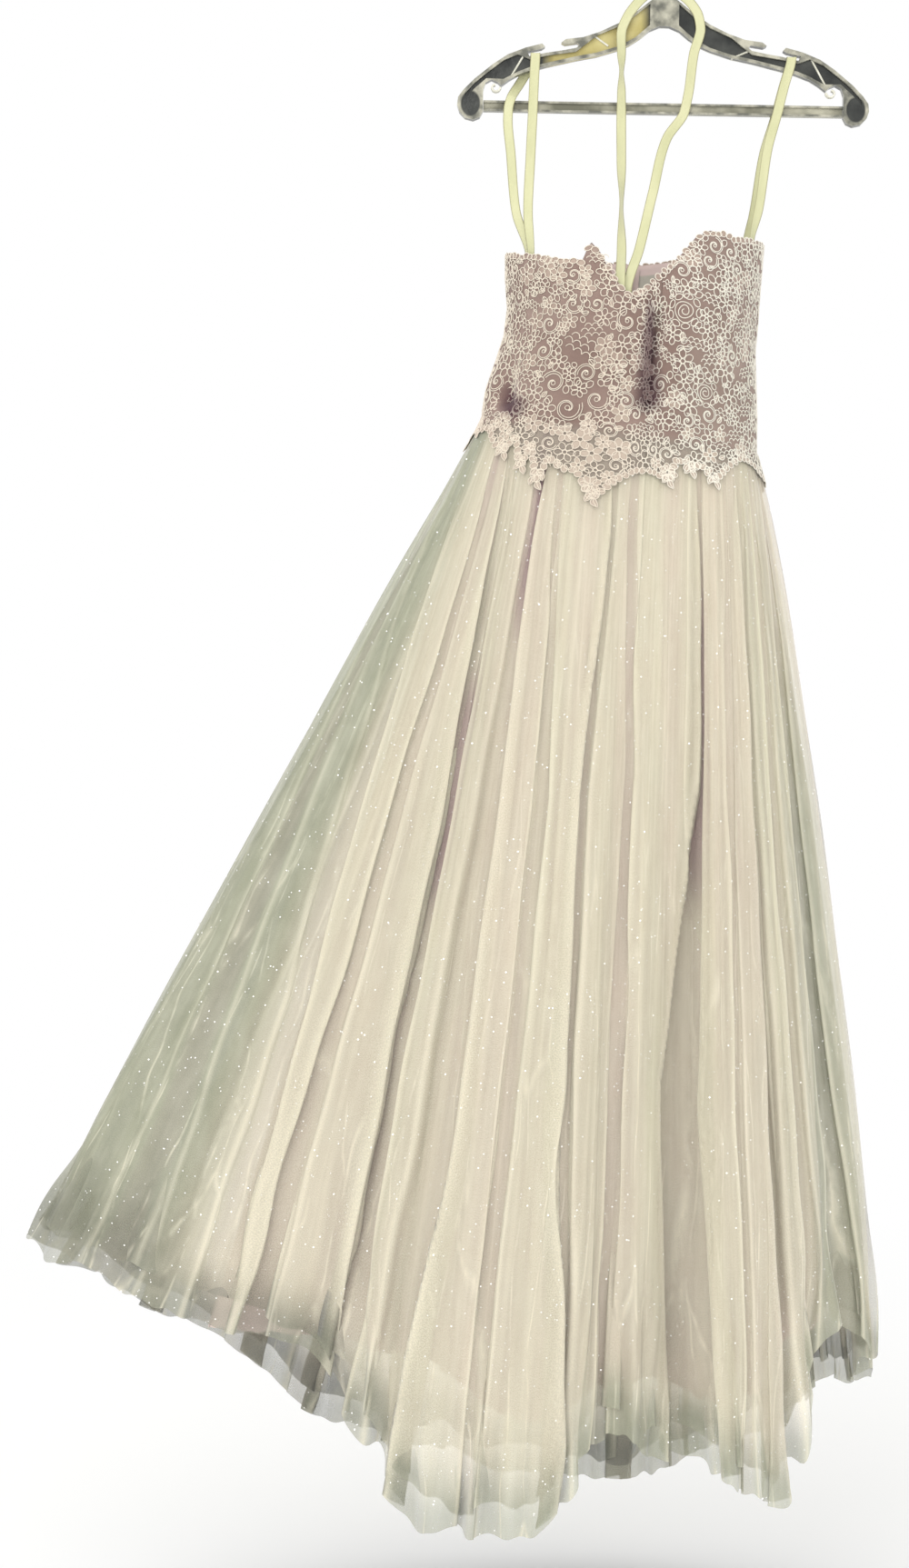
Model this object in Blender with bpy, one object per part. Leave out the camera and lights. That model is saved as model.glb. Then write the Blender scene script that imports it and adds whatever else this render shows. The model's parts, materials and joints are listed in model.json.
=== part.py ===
"""Strapless evening gown hung by ribbon loops on a moulded hanger.

A corded lace bodice over a gathered tulle skirt and its lining. The cloth is a
set of thin walls, lofted from short tables. Sizes below are in millimetres and
the model is in metres, +Z up, +X to the right and -Y to the front. The origin
is the seat of the hook, where the hanger rests on its rail. Angles round the
gown are in degrees: 0 at the right side, 90 at the centre back, 180 at the left
side and 270 at the centre front.
"""
import math

import bpy
import numpy as np

MM = 0.001

# Cloth
SEAM_GAP = 0.3
HALF_GAP = SEAM_GAP / 2
FACET_EASE = 0.6
BODICE_WALL = 2.0
TULLE_WALL = 1.5
LINING_WALL = 1.2
RIBBON_WIDTH = 10.0
RIBBON_WALL = 1.0
ZIP_WIDTH = 24.0
ZIP_SEAT = 0.8

# Waist seam, an ellipse that drops to the right
WAIST_CENTRE_X = -45.0
WAIST_HALF_WIDTH = 140.0
WAIST_FRONT = 72.0
WAIST_BACK = 68.0
WAIST_HEIGHT = -515.0
WAIST_TILT = 18.0
BODICE_TOP = -316.0

# Moulded hanger
HANGER_DEPTH = 9.0
HANGER_WEB = 3.0
HANGER_CENTRE_X = 1.9
HANGER_PIVOT_HEIGHT = -120.0
HANGER_TILT = math.radians(1.0)
BAR_HALF_LENGTH = 186.7
BAR_HEIGHT = 11.0
BAR_DEPTH = 7.0
BAR_FLANGE = 2.2
BAR_WEB = 3.0
BAR_LEVEL = -174.3
BOSS_TOP = -56.0
HOOK_WIRE = 3.6
HOOK_INNER_RADIUS = 19.0
HOOK_BEND = ((3.0, -50.0), (4.4, -43.5), (9.4, -38.2))

# Bodice sections: share of the height from waist to top, side and depth reach
BODICE_SECTIONS = (
    # share, left x, right x, front, back
    (0.00, -185.0, 95.0, 72.0, 68.0),
    (0.17, -180.0, 95.5, 78.0, 69.0),
    (0.33, -170.0, 94.5, 86.0, 72.0),
    (0.48, -161.0, 93.5, 94.0, 75.0),
    (0.64, -157.5, 96.5, 99.0, 79.0),
    (0.80, -159.5, 99.0, 98.0, 82.0),
    (1.00, -159.5, 103.0, 83.0, 86.0),
)

# Scalloped top edge of the bodice
NECKLINE = (
    # angle, height
    (0.0, -318.0), (12.0, -320.0), (24.0, -316.5), (36.0, -319.5), (48.0, -316.5),
    (60.0, -319.5), (72.0, -317.0), (84.0, -319.5), (96.0, -317.5), (108.0, -320.0),
    (120.0, -318.0), (132.0, -321.0), (144.0, -319.5), (156.0, -323.0), (168.0, -322.0),
    (180.0, -327.0), (194.0, -329.0), (208.0, -335.0), (218.6, -339.0), (226.0, -343.0),
    (234.8, -348.7), (240.5, -349.0), (245.0, -351.0), (248.2, -330.5), (252.4, -342.0),
    (255.7, -356.0), (260.6, -374.5), (265.8, -387.0), (272.7, -380.0), (277.0, -368.0),
    (282.7, -358.8), (288.9, -343.6), (295.2, -325.0), (302.0, -316.5), (309.8, -317.0),
    (317.6, -322.0), (324.0, -319.0), (330.4, -320.0), (340.0, -318.5), (350.0, -320.0),
)

# Leafy lower edge of the lace, which lies over the top of the skirt
LACE_EDGE = (
    # angle, drop below the waist seam
    (8.0, 32.0), (18.0, 14.0), (30.0, 40.0), (40.0, 16.0), (52.0, 52.0), (62.0, 26.0),
    (72.0, 60.0), (82.0, 34.0), (90.0, 74.0), (98.0, 34.0), (108.0, 58.0), (118.0, 26.0),
    (130.0, 50.0), (140.0, 18.0), (152.0, 42.0), (164.0, 14.0), (174.0, 26.0),
    (184.0, 12.0), (191.0, 14.0), (203.4, 12.0), (210.8, 27.0), (217.4, 38.0),
    (223.1, 19.0), (228.2, 51.0), (232.1, 27.0), (236.6, 66.0), (240.5, 40.0),
    (246.0, 50.0), (252.9, 51.0), (259.5, 78.0), (267.9, 56.0), (275.4, 44.0),
    (282.9, 42.0), (289.6, 49.0), (293.4, 25.0), (299.2, 36.0), (304.6, 27.0),
    (311.0, 44.0), (319.4, 25.0), (330.0, 12.0), (340.4, 16.0), (352.0, 26.0),
)

# Hem of the tulle skirt
TULLE_HEM = (
    # angle, x, y, z
    (0.0, 230.6, 0.0, -1468.5), (10.0, 226.0, 38.0, -1500.0), (30.0, 195.0, 120.0, -1520.0),
    (45.0, 150.0, 165.0, -1572.0), (65.0, 60.0, 205.0, -1620.0), (90.0, -60.0, 222.0, -1655.0),
    (105.0, -160.0, 225.0, -1640.0), (120.0, -270.0, 215.0, -1612.0),
    (135.0, -380.0, 190.0, -1566.0), (150.0, -480.0, 150.0, -1480.0),
    (165.0, -590.0, 85.0, -1410.0), (180.0, -661.0, 0.0, -1353.0),
    (207.0, -479.5, -90.0, -1418.6), (221.0, -363.9, -130.0, -1444.5),
    (233.5, -294.1, -205.0, -1554.5), (245.0, -226.7, -235.0, -1589.5),
    (254.0, -189.6, -240.0, -1589.7), (264.0, -124.0, -235.0, -1584.3),
    (269.0, -93.7, -215.0, -1551.8), (274.0, -83.9, -195.0, -1520.4),
    (286.0, -39.1, -180.0, -1519.0), (301.0, 8.1, -165.0, -1545.9),
    (310.0, 37.8, -205.0, -1545.8), (324.0, 86.4, -200.0, -1566.4),
    (334.0, 123.2, -160.0, -1566.7), (342.0, 151.7, -110.0, -1476.1),
    (350.0, 180.0, -60.0, -1427.6),
)

# Hem of the lining, shorter and closer in
LINING_HEM = (
    # angle, x, y, z
    (0.0, 170.0, 0.0, -1437.0), (20.0, 164.0, 44.0, -1445.0), (45.0, 110.0, 112.0, -1465.0),
    (65.0, 40.0, 142.0, -1485.0), (90.0, -58.0, 156.0, -1500.0), (120.0, -235.0, 150.0, -1490.0),
    (135.0, -330.0, 130.0, -1475.0), (150.0, -410.0, 95.0, -1458.0),
    (165.0, -455.0, 45.0, -1445.0), (180.0, -480.0, -10.0, -1436.0),
    (207.0, -370.0, -55.0, -1441.0), (221.0, -300.0, -85.0, -1442.0),
    (233.5, -240.0, -150.0, -1452.0), (245.0, -192.0, -168.0, -1478.0),
    (264.0, -112.0, -165.0, -1500.0), (274.0, -82.0, -142.0, -1482.0),
    (286.0, -42.0, -124.0, -1466.0), (301.0, 8.0, -110.0, -1481.0),
    (324.0, 70.0, -128.0, -1507.0), (334.0, 86.0, -108.0, -1498.0),
    (342.0, 106.0, -76.0, -1481.0), (350.0, 128.0, -38.0, -1455.0),
)

# How early the skirt swings out below the waist: 1 is a straight line to the hem
FLARE = (
    # angle, exponent
    (0.0, 0.72), (45.0, 0.80), (90.0, 0.88), (180.0, 0.97), (230.0, 0.95),
    (265.0, 0.92), (290.0, 0.86), (315.0, 0.76), (340.0, 0.72),
)

# Folds of the tulle. Each row is a ridge and the valley to its right
FRONT_FOLDS = (
    # ridge angle near the waist, midway, at the hem, depth, valley place, valley half-width
    (180.0, 180.0, 180.0, 10.0, 0.45, 0.30),
    (186.0, 189.0, 192.0, 12.0, 0.50, 0.30),
    (191.5, 199.0, 203.0, 14.0, 0.60, 0.30),
    (204.0, 206.5, 209.5, 12.0, 0.50, 0.30),
    (213.0, 213.0, 214.0, 12.0, 0.45, 0.30),
    (220.0, 220.5, 220.0, 26.0, 0.45, 0.26),
    (231.0, 230.0, 228.5, 24.0, 0.58, 0.26),
    (243.0, 243.0, 239.0, 22.0, 0.50, 0.28),
    (252.5, 256.0, 256.5, 24.0, 0.72, 0.22),
    (270.0, 269.0, 269.5, 26.0, 0.50, 0.26),
    (281.5, 281.0, 280.0, 12.0, 0.45, 0.25),
    (291.0, 291.5, 289.0, 34.0, 0.58, 0.24),
    (310.5, 310.0, 312.0, 10.0, 0.50, 0.30),
    (319.0, 319.0, 322.5, 30.0, 0.66, 0.26),
    (334.0, 334.5, 337.5, 18.0, 0.45, 0.28),
    (345.0, 345.0, 348.0, 14.0, 0.45, 0.30),
)
BACK_FOLD_COUNT = 17
BACK_FOLD_DEPTH = 20.0
BACK_FOLD_VARIATION = 8.0
BACK_VALLEY_DRIFT = 0.1
BACK_VALLEY_HALF_WIDTH = 0.27
BACK_FOLD_DRIFTS = (
    # most turn of a ridge, rate, start; near the waist, midway and at the hem
    (1.6, 2.3, 0.0), (2.2, 1.7, 0.8), (2.6, 1.3, 2.0),
)
# Share of a fold's depth at each share of the way from waist to hem
FOLD_RISE = (
    (0.0, 0.0), (0.02, 0.04), (0.05, 0.13), (0.10, 0.24), (0.20, 0.42), (0.36, 0.60),
    (0.58, 0.77), (0.80, 0.90), (1.0, 1.0),
)
TULLE_RINGS = (0.0, 0.02, 0.05, 0.10, 0.17, 0.27, 0.39, 0.52, 0.66, 0.80, 0.92, 1.0)
MOST_DEPTH_PER_PITCH = 0.55

LINING_FOLDS = 20
LINING_FOLD_DEPTH = 8.0
LINING_RINGS = (0.0, 0.03, 0.08, 0.16, 0.28, 0.43, 0.60, 0.80, 1.0)
LINING_STAND_OFF = 9.0
LINING_TOP_GAP = HALF_GAP + TULLE_WALL + SEAM_GAP

# Rings of the bodice, from the neckline to the waist and on to the lace edge
BODICE_SHARES = (1.0, 0.93, 0.81, 0.66, 0.51, 0.37, 0.24, 0.12, 0.0)
LACE_SHARES = (0.5, 1.0)
BODICE_STEP = 6.0
BODICE_LEAST_STEP = 2.6
FRONT_SEAM = 280.0

# Dent of the gathered left waist: depth, place round and above the waist seam
PINCH_DEPTH = 15.0
PINCH_ANGLE = 209.0
PINCH_TURN = 8.0
PINCH_RISE = 24.0
PINCH_START = 2.0
PINCH_FADE = 14.0

# Crease down the centre front
CREASE_DEPTH = 15.0
CREASE_TURN = 4.2
CREASE_START = 4.0
CREASE_END = 140.0
CREASE_LOWER_FADE = 30.0
CREASE_UPPER_FADE = 40.0
CREASE_COLUMNS = (-8.0, -4.5, -2.0, 0.0, 2.0, 4.5, 8.0)

# Cups
CUP_DEPTH = 8.0
CUP_ANGLES = (243.0, 308.0)
CUP_TURN = 20.0
CUP_RISE = 128.0
CUP_REACH = 45.0

# Zip: thickness of tape, coil and slider, and heights above the waist seam
ZIP_TAPE = 1.0
ZIP_COIL = 2.4
ZIP_SLIDER = 5.0
ZIP_ACROSS = (-1.0, -0.32, -0.22, 0.22, 0.32, 1.0)
ZIP_TOP = 192.0
SLIDER_TOP = 188.0
SLIDER_BOTTOM = 176.0
SLIDER_EDGE = 0.5
ZIP_LOWER_ROWS = (120.0, 60.0, 2.0)

# Half of the hanger's outline, from the boss outward and back along the underside
HANGER_HALF_OUTLINE = (
    # distance from the centre, height
    (8.0, -56.0), (11.0, -60.0), (30.0, -75.0), (47.4, -86.6), (67.1, -96.0), (84.0, -101.8),
    (102.0, -104.1), (106.5, -107.6), (103.0, -109.4), (90.0, -107.4), (87.5, -109.8),
    (91.0, -113.0), (106.0, -116.0), (123.0, -118.8), (139.5, -122.6), (142.0, -117.8),
    (127.0, -114.4), (123.6, -112.2), (126.6, -109.2), (143.6, -113.6), (162.0, -121.0),
    (177.1, -131.1), (196.6, -147.2), (207.2, -158.0), (213.0, -166.0), (213.8, -174.0),
    (211.5, -181.0), (205.5, -187.3), (197.0, -189.3), (190.2, -186.5), (187.0, -180.5),
    (187.0, -158.0), (184.5, -150.5), (178.5, -147.2), (172.0, -150.0), (168.5, -153.5),
    (160.5, -147.3), (151.5, -142.0), (136.4, -136.4), (121.3, -132.3), (91.2, -125.0),
    (70.0, -120.8), (47.4, -113.7), (36.9, -109.1), (24.9, -101.2), (15.8, -93.6), (5.0, -88.9),
)
# Sunk panel on each face of an arm, inside its rim
ARM_PANEL = (
    # distance from the centre, top height, bottom height
    (15.0, -66.0, -88.0), (30.0, -78.2, -101.0), (47.4, -90.0, -110.6), (70.0, -100.0, -117.6),
    (91.2, -117.0, -121.8), (121.3, -121.6, -129.0), (139.0, -125.6, -133.8),
    (151.5, -120.8, -138.8), (166.0, -127.0, -146.6), (184.0, -140.8, -146.2),
    (196.0, -151.2, -157.0), (206.5, -163.0, -168.0),
)

# Ribbon loops: each end is sewn inside the bodice at an angle and a distance in
LOOP_SEATS = {
    # first angle, first distance in, last angle, last distance in
    "loop_left": (213.5, 1.0, 209.2, 3.8),
    "loop_centre": (261.5, 1.0, 264.5, 2.6),
    "loop_right": (335.0, 1.0, 25.0, 1.0),
}
SEAT_HEIGHTS = (-26.0, -12.0, 5.0)
# Free run of each loop. Its face points to the front at heading 0, to the right
# at 90 and up at tilt 90
LOOP_RUNS = {
    # x, y, z, heading of the face, tilt of the face
    "loop_left": (
        (-140.0, -38.0, -296.0, -18.0, 0.0), (-137.0, -16.0, -228.0, 0.0, 0.0),
        (-134.6, -5.7, -184.0, 0.0, 0.0), (-132.6, -5.6, -140.0, 0.0, 0.0),
        (-131.6, -5.5, -122.0, 0.0, 0.0), (-131.5, -5.5, -117.9, 0.0, 20.0),
        (-131.5, -5.0, -116.95, 0.0, 60.0), (-131.5, 0.0, -116.8, 0.0, 90.0),
        (-131.5, 5.0, -116.95, 180.0, 60.0), (-131.6, 5.5, -117.9, 180.0, 20.0),
        (-132.3, 5.6, -122.0, 180.0, 0.0), (-140.0, 5.8, -134.0, 180.0, 0.0),
        (-148.5, 6.2, -147.5, 180.0, 0.0), (-153.0, 1.0, -155.5, 180.0, 0.0),
        (-156.5, -5.4, -163.0, 175.0, 0.0), (-159.0, -6.4, -171.0, 170.0, 0.0),
        (-160.2, -6.8, -186.0, 168.0, 0.0), (-157.4, -13.6, -222.0, 164.0, 0.0),
        (-151.6, -28.6, -290.0, 154.0, 0.0),
    ),
    "loop_centre": (
        (-46.8, -76.0, -340.0, 10.0, 0.0), (-45.4, -52.0, -286.0, 62.0, 0.0),
        (-43.6, -24.0, -232.0, 10.0, 0.0), (-42.6, -6.6, -190.0, 0.0, 0.0),
        (-42.5, -8.4, -160.0, 25.0, 0.0), (-42.5, -9.4, -138.0, 60.0, 0.0),
        (-42.5, -8.4, -116.0, 20.0, 0.0), (-41.6, -5.8, -92.0, 0.0, 0.0),
        (-34.0, -5.8, -76.0, 0.0, 0.0), (-22.0, -5.0, -61.5, 0.0, 0.0),
        (-9.0, 2.6, -51.0, 0.0, 0.0), (3.0, 3.6, -49.4, 0.0, 0.0), (14.0, 2.6, -51.4, 0.0, 0.0),
        (27.0, -5.0, -62.5, 0.0, 0.0), (36.6, -5.8, -76.0, 0.0, 0.0),
        (39.8, -5.8, -92.0, 0.0, 0.0), (33.0, -5.9, -117.0, 0.0, 0.0),
        (27.0, -5.9, -160.0, 0.0, 0.0), (22.0, -6.6, -181.0, 0.0, 0.0),
        (6.2, -14.0, -204.0, 0.0, 0.0), (-13.0, -46.0, -272.0, -6.0, 0.0),
        (-29.0, -72.0, -336.0, -8.0, 0.0),
    ),
    "loop_right": (
        (97.6, -26.0, -284.0, 20.0, 0.0), (109.6, -11.0, -214.0, 6.0, 0.0),
        (119.4, -5.8, -180.0, 0.0, 0.0), (127.0, -5.6, -150.0, 0.0, 0.0),
        (133.6, -5.5, -127.0, 0.0, 0.0), (134.4, -5.5, -122.2, 0.0, 20.0),
        (134.5, -5.0, -121.25, 0.0, 60.0), (134.5, 0.0, -121.1, 0.0, 90.0),
        (134.5, 5.0, -121.25, 180.0, 60.0), (134.4, 5.5, -122.2, 180.0, 20.0),
        (133.6, 5.6, -127.0, 180.0, 0.0), (127.0, 5.8, -150.0, 180.0, 0.0),
        (119.0, 6.2, -180.0, 180.0, 0.0), (108.6, 12.0, -214.0, 176.0, 0.0),
        (97.0, 27.0, -284.0, 160.0, 0.0),
    ),
}

# Name: base colour, roughness, metallic
FINISHES = {
    "lace": ((0.64, 0.50, 0.42, 1.0), 0.75, 0.0),
    "tulle": ((0.66, 0.65, 0.54, 1.0), 0.60, 0.0),
    "lining": ((0.62, 0.46, 0.43, 1.0), 0.45, 0.0),
    "ribbon": ((0.84, 0.84, 0.45, 1.0), 0.40, 0.0),
    "zip": ((0.56, 0.42, 0.38, 1.0), 0.50, 0.0),
    "hanger": ((0.32, 0.30, 0.26, 1.0), 0.15, 0.0),
    "wire": ((0.70, 0.70, 0.70, 1.0), 0.25, 1.0),
}


def make_material(finish):
    """Return the Principled material of one finish, made once."""
    material = bpy.data.materials.get(finish)
    if material is None:
        colour, roughness, metallic = FINISHES[finish]
        material = bpy.data.materials.new(finish)
        material.use_nodes = True
        shader = material.node_tree.nodes["Principled BSDF"]
        shader.inputs["Base Color"].default_value = colour
        shader.inputs["Roughness"].default_value = roughness
        shader.inputs["Metallic"].default_value = metallic
    return material


def smooth_step(value):
    """Ease from 0 to 1 as the value goes from 0 to 1."""
    value = np.clip(value, 0.0, 1.0)
    return value * value * (3.0 - 2.0 * value)


def smooth_round(table, column, angles):
    """Read one column of a table of angles as a smooth closed curve."""
    rows = sorted(table)
    knots = np.array([row[0] for row in rows])
    values = np.array([row[column] for row in rows])
    knots = np.concatenate([knots[-2:] - 360.0, knots, knots[:2] + 360.0])
    values = np.concatenate([values[-2:], values, values[:2]])
    slopes = np.gradient(values, knots)
    angles = np.mod(angles, 360.0)
    place = np.clip(np.searchsorted(knots, angles, side="right") - 1, 0, len(knots) - 2)
    width = knots[place + 1] - knots[place]
    share = (angles - knots[place]) / width
    rest = 1.0 - share
    start = (1.0 + 2.0 * share) * rest * rest
    end = share * share * (3.0 - 2.0 * share)
    start_slope = share * rest * rest * width
    end_slope = -share * share * rest * width
    return (start * values[place] + end * values[place + 1]
            + start_slope * slopes[place] + end_slope * slopes[place + 1])


def straight_round(table, column, angles):
    """Read one column of a table of angles as straight runs, for a pointed edge."""
    rows = sorted(table)
    knots = [row[0] for row in rows]
    values = [row[column] for row in rows]
    return np.interp(angles, knots, values, period=360.0)


def waist_height(angles):
    """Height of the waist seam, lower on the right."""
    return WAIST_HEIGHT - WAIST_TILT * np.cos(np.radians(angles))


def bell(values, centre, reach):
    """Rise to 1 at the centre and fall away on both sides."""
    return np.exp(-((values - centre) / reach) ** 2)


def pinch(angles, above_waist):
    """How far the left waist and the centre front are creased inward."""
    left = PINCH_DEPTH * bell(angles, PINCH_ANGLE, PINCH_TURN) * bell(above_waist, PINCH_RISE, PINCH_RISE)
    left *= smooth_step((above_waist - PINCH_START) / PINCH_FADE)
    lower = smooth_step((above_waist - CREASE_START) / CREASE_LOWER_FADE)
    upper = smooth_step((CREASE_END - above_waist) / CREASE_UPPER_FADE)
    front = CREASE_DEPTH * bell(angles, FRONT_SEAM, CREASE_TURN) * lower * upper
    return left + front


def cups(angles, above_waist):
    """How far the two cups stand out from the bodice."""
    sides = sum(bell(angles, centre, CUP_TURN) for centre in CUP_ANGLES)
    return CUP_DEPTH * bell(above_waist, CUP_RISE, CUP_REACH) * sides


def level_normals(points):
    """Outward level directions of closed rings of points, angles rising along a ring."""
    along = np.roll(points, -1, axis=1) - np.roll(points, 1, axis=1)
    normals = np.stack([along[..., 1], -along[..., 0], np.zeros_like(along[..., 0])], axis=-1)
    return normals / np.linalg.norm(normals, axis=-1, keepdims=True)


def surface_normals(points):
    """Outward directions of a closed loft, rings from the top down."""
    along = np.roll(points, -1, axis=1) - np.roll(points, 1, axis=1)
    down = np.gradient(points, axis=0)
    normals = np.cross(down, along)
    return normals / np.linalg.norm(normals, axis=-1, keepdims=True)


def bodice_points(angles, heights):
    """Points and level outward directions of the bodice's form at angles and heights."""
    share = (heights - waist_height(angles)) / (BODICE_TOP - waist_height(angles))
    rows = np.array(BODICE_SECTIONS)
    left, right, front, back = (np.interp(share, rows[:, 0], rows[:, k]) for k in range(1, 5))
    across = np.cos(np.radians(angles))
    deep = np.sin(np.radians(angles))
    depth = np.where(deep < 0.0, front, back)
    half = (right - left) / 2
    ring = np.stack([(left + right) / 2 + half * across, depth * deep, heights], axis=-1)
    outward = np.stack([across / half, deep / depth, np.zeros_like(across)], axis=-1)
    outward /= np.linalg.norm(outward, axis=-1, keepdims=True)
    above_waist = heights - waist_height(angles)
    out = cups(angles, above_waist) - pinch(angles, above_waist)
    return ring + outward * out[..., None], outward


def skirt_points(angles, shares, hem_table, waist_inset):
    """Points of a skirt's form at shares of the way from the waist seam to the hem."""
    across = np.cos(np.radians(angles))
    deep = np.sin(np.radians(angles))
    depth = np.where(deep < 0.0, WAIST_FRONT, WAIST_BACK) - waist_inset
    waist_x = WAIST_CENTRE_X + (WAIST_HALF_WIDTH - waist_inset) * across
    waist_y = depth * deep
    waist_z = waist_height(angles)
    swing = shares ** smooth_round(FLARE, 1, angles)
    hem_x, hem_y, hem_z = (smooth_round(hem_table, column, angles) for column in (1, 2, 3))
    return np.stack([
        waist_x + (hem_x - waist_x) * swing,
        waist_y + (hem_y - waist_y) * swing,
        waist_z + (hem_z - waist_z) * shares,
    ], axis=-1)


def make_object(name, vertices, faces, finish):
    """Make one named object, in millimetres, and return it."""
    mesh = bpy.data.meshes.new(name)
    mesh.from_pydata([tuple(float(value) * MM for value in point) for point in vertices], [], faces)
    mesh.materials.append(make_material(finish))
    piece = bpy.data.objects.new(name, mesh)
    gown_collection.objects.link(piece)
    return piece


def wall_between(name, outer, inner, finish):
    """Close the wall between two equal grids, rows from the top down."""
    rows, columns = outer.shape[:2]
    count = rows * columns
    vertices = np.concatenate([outer.reshape(-1, 3), inner.reshape(-1, 3)])
    faces = []
    for row in range(rows - 1):
        for column in range(columns - 1):
            corner = row * columns + column
            across = corner + columns + 1
            for triangle in ((corner, corner + columns, across), (corner, across, corner + 1)):
                faces.append(triangle)
                faces.append(tuple(index + count for index in reversed(triangle)))
    top = list(range(columns))
    right = [row * columns + columns - 1 for row in range(1, rows)]
    bottom = [(rows - 1) * columns + column for column in range(columns - 2, -1, -1)]
    left = [row * columns for row in range(rows - 2, 0, -1)]
    rim = top + right + bottom + left
    for start, end in zip(rim, rim[1:] + rim[:1]):
        faces.append((start, end, end + count, start + count))
    return make_object(name, vertices, faces, finish)


def panel(name, points, outer_side, inner_side, finish, columns):
    """Cut one panel out of a closed loft and give it its wall.

    The sides are distances along the outward normals. The panel's two edges are
    drawn in by half a seam's gap.
    """
    normals = surface_normals(points)
    picked = points[:, columns]
    outward = normals[:, columns]
    outer = picked + outward * outer_side
    inner = picked + outward * inner_side
    for edge, neighbour in ((0, 1), (-1, -2)):
        towards = picked[:, neighbour] - picked[:, edge]
        towards -= outward[:, edge] * np.sum(towards * outward[:, edge], axis=-1, keepdims=True)
        towards /= np.linalg.norm(towards, axis=-1, keepdims=True)
        outer[:, edge] += towards * HALF_GAP
        inner[:, edge] += towards * HALF_GAP
    return wall_between(name, outer, inner, finish)


def bodice_angles():
    """Angles of the bodice's columns: even steps, edge points and the front crease."""
    wanted = list(np.arange(0.0, 360.0, BODICE_STEP))
    wanted += [row[0] for row in NECKLINE if row[0] > 180.0]
    wanted += [row[0] for row in LACE_EDGE]
    kept = [0.0, 90.0, 180.0, 360.0]
    kept += [FRONT_SEAM + turn for turn in CREASE_COLUMNS]
    pointed = [row[0] for row in LACE_EDGE + NECKLINE if row[0] > 180.0]
    for angle in pointed + wanted:
        if all(abs(angle - other) > BODICE_LEAST_STEP for other in kept):
            kept.append(angle)
    return np.array(sorted(kept)[:-1])


def make_bodice():
    """Make the two front and two back panels of the bodice."""
    angles = bodice_angles()
    waist = waist_height(angles)
    neck = straight_round(NECKLINE, 1, angles)
    drop = straight_round(LACE_EDGE, 1, angles)
    hem = smooth_round(TULLE_HEM, 3, angles)
    rings = []
    for share in BODICE_SHARES:
        rings.append(bodice_points(angles, waist + (neck - waist) * share)[0])
    for share in LACE_SHARES:
        rings.append(skirt_points(angles, drop * share / (waist - hem), TULLE_HEM, 0.0))
    points = np.array(rings)
    columns = {angle: place for place, angle in enumerate(angles)}
    back = columns[90.0]
    left = columns[180.0]
    front = columns[FRONT_SEAM]
    last = len(angles)
    inner_side = HALF_GAP + FACET_EASE
    for name, picked in (
        ("bodice_back_right", list(range(0, back + 1))),
        ("bodice_back_left", list(range(back, left + 1))),
        ("bodice_front_left", list(range(left, front + 1))),
        ("bodice_front_right", list(range(front, last)) + [0]),
    ):
        panel(name, points, inner_side + BODICE_WALL, inner_side, "lace", picked)


def make_zip():
    """Make the closed zip inside the centre back, its slider at the top."""
    half_turn = math.degrees(ZIP_WIDTH / 2 / (WAIST_HALF_WIDTH - ZIP_SEAT))
    angles = 90.0 + np.array(ZIP_ACROSS) * half_turn
    waist = waist_height(angles)
    closed = np.array([ZIP_TAPE, ZIP_TAPE, ZIP_COIL, ZIP_COIL, ZIP_TAPE, ZIP_TAPE])
    slider = np.array([ZIP_TAPE, ZIP_TAPE, ZIP_SLIDER, ZIP_SLIDER, ZIP_TAPE, ZIP_TAPE])
    rows = [
        (ZIP_TOP, closed), (SLIDER_TOP, closed), (SLIDER_TOP - SLIDER_EDGE, slider),
        (SLIDER_BOTTOM, slider), (SLIDER_BOTTOM - SLIDER_EDGE, closed),
    ]
    rows += [(above, closed) for above in ZIP_LOWER_ROWS]
    outer = []
    inner = []
    for above, thickness in rows:
        ring, outward = bodice_points(angles, waist + above)
        outer.append(ring - outward * ZIP_SEAT)
        inner.append(ring - outward * (ZIP_SEAT + thickness[:, None]))
    wall_between("back_zip", np.array(outer), np.array(inner), "zip")


def tulle_folds():
    """Return every fold of the tulle round the gown, the back ones by rule."""
    rows = []
    for place in range(BACK_FOLD_COUNT):
        ridge = 180.0 / BACK_FOLD_COUNT * place
        drifts = [ridge] * len(BACK_FOLD_DRIFTS)
        if place > 0:
            drifts = [ridge + most * math.sin(place * rate + start) for most, rate, start in BACK_FOLD_DRIFTS]
        depth = BACK_FOLD_DEPTH + BACK_FOLD_VARIATION * math.sin(place * 2.9 + 1.0)
        valley = 0.5 + BACK_VALLEY_DRIFT * math.sin(place * 1.9)
        rows.append((*drifts, depth, valley, BACK_VALLEY_HALF_WIDTH))
    return rows + list(FRONT_FOLDS)


def ridge_angles(folds, shares):
    """Angles of the ridges at each share of the way down."""
    knots = (0.0, 0.5, 1.0)
    return np.array([[np.interp(share, knots, fold[:3]) for fold in folds] for share in shares])


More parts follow.
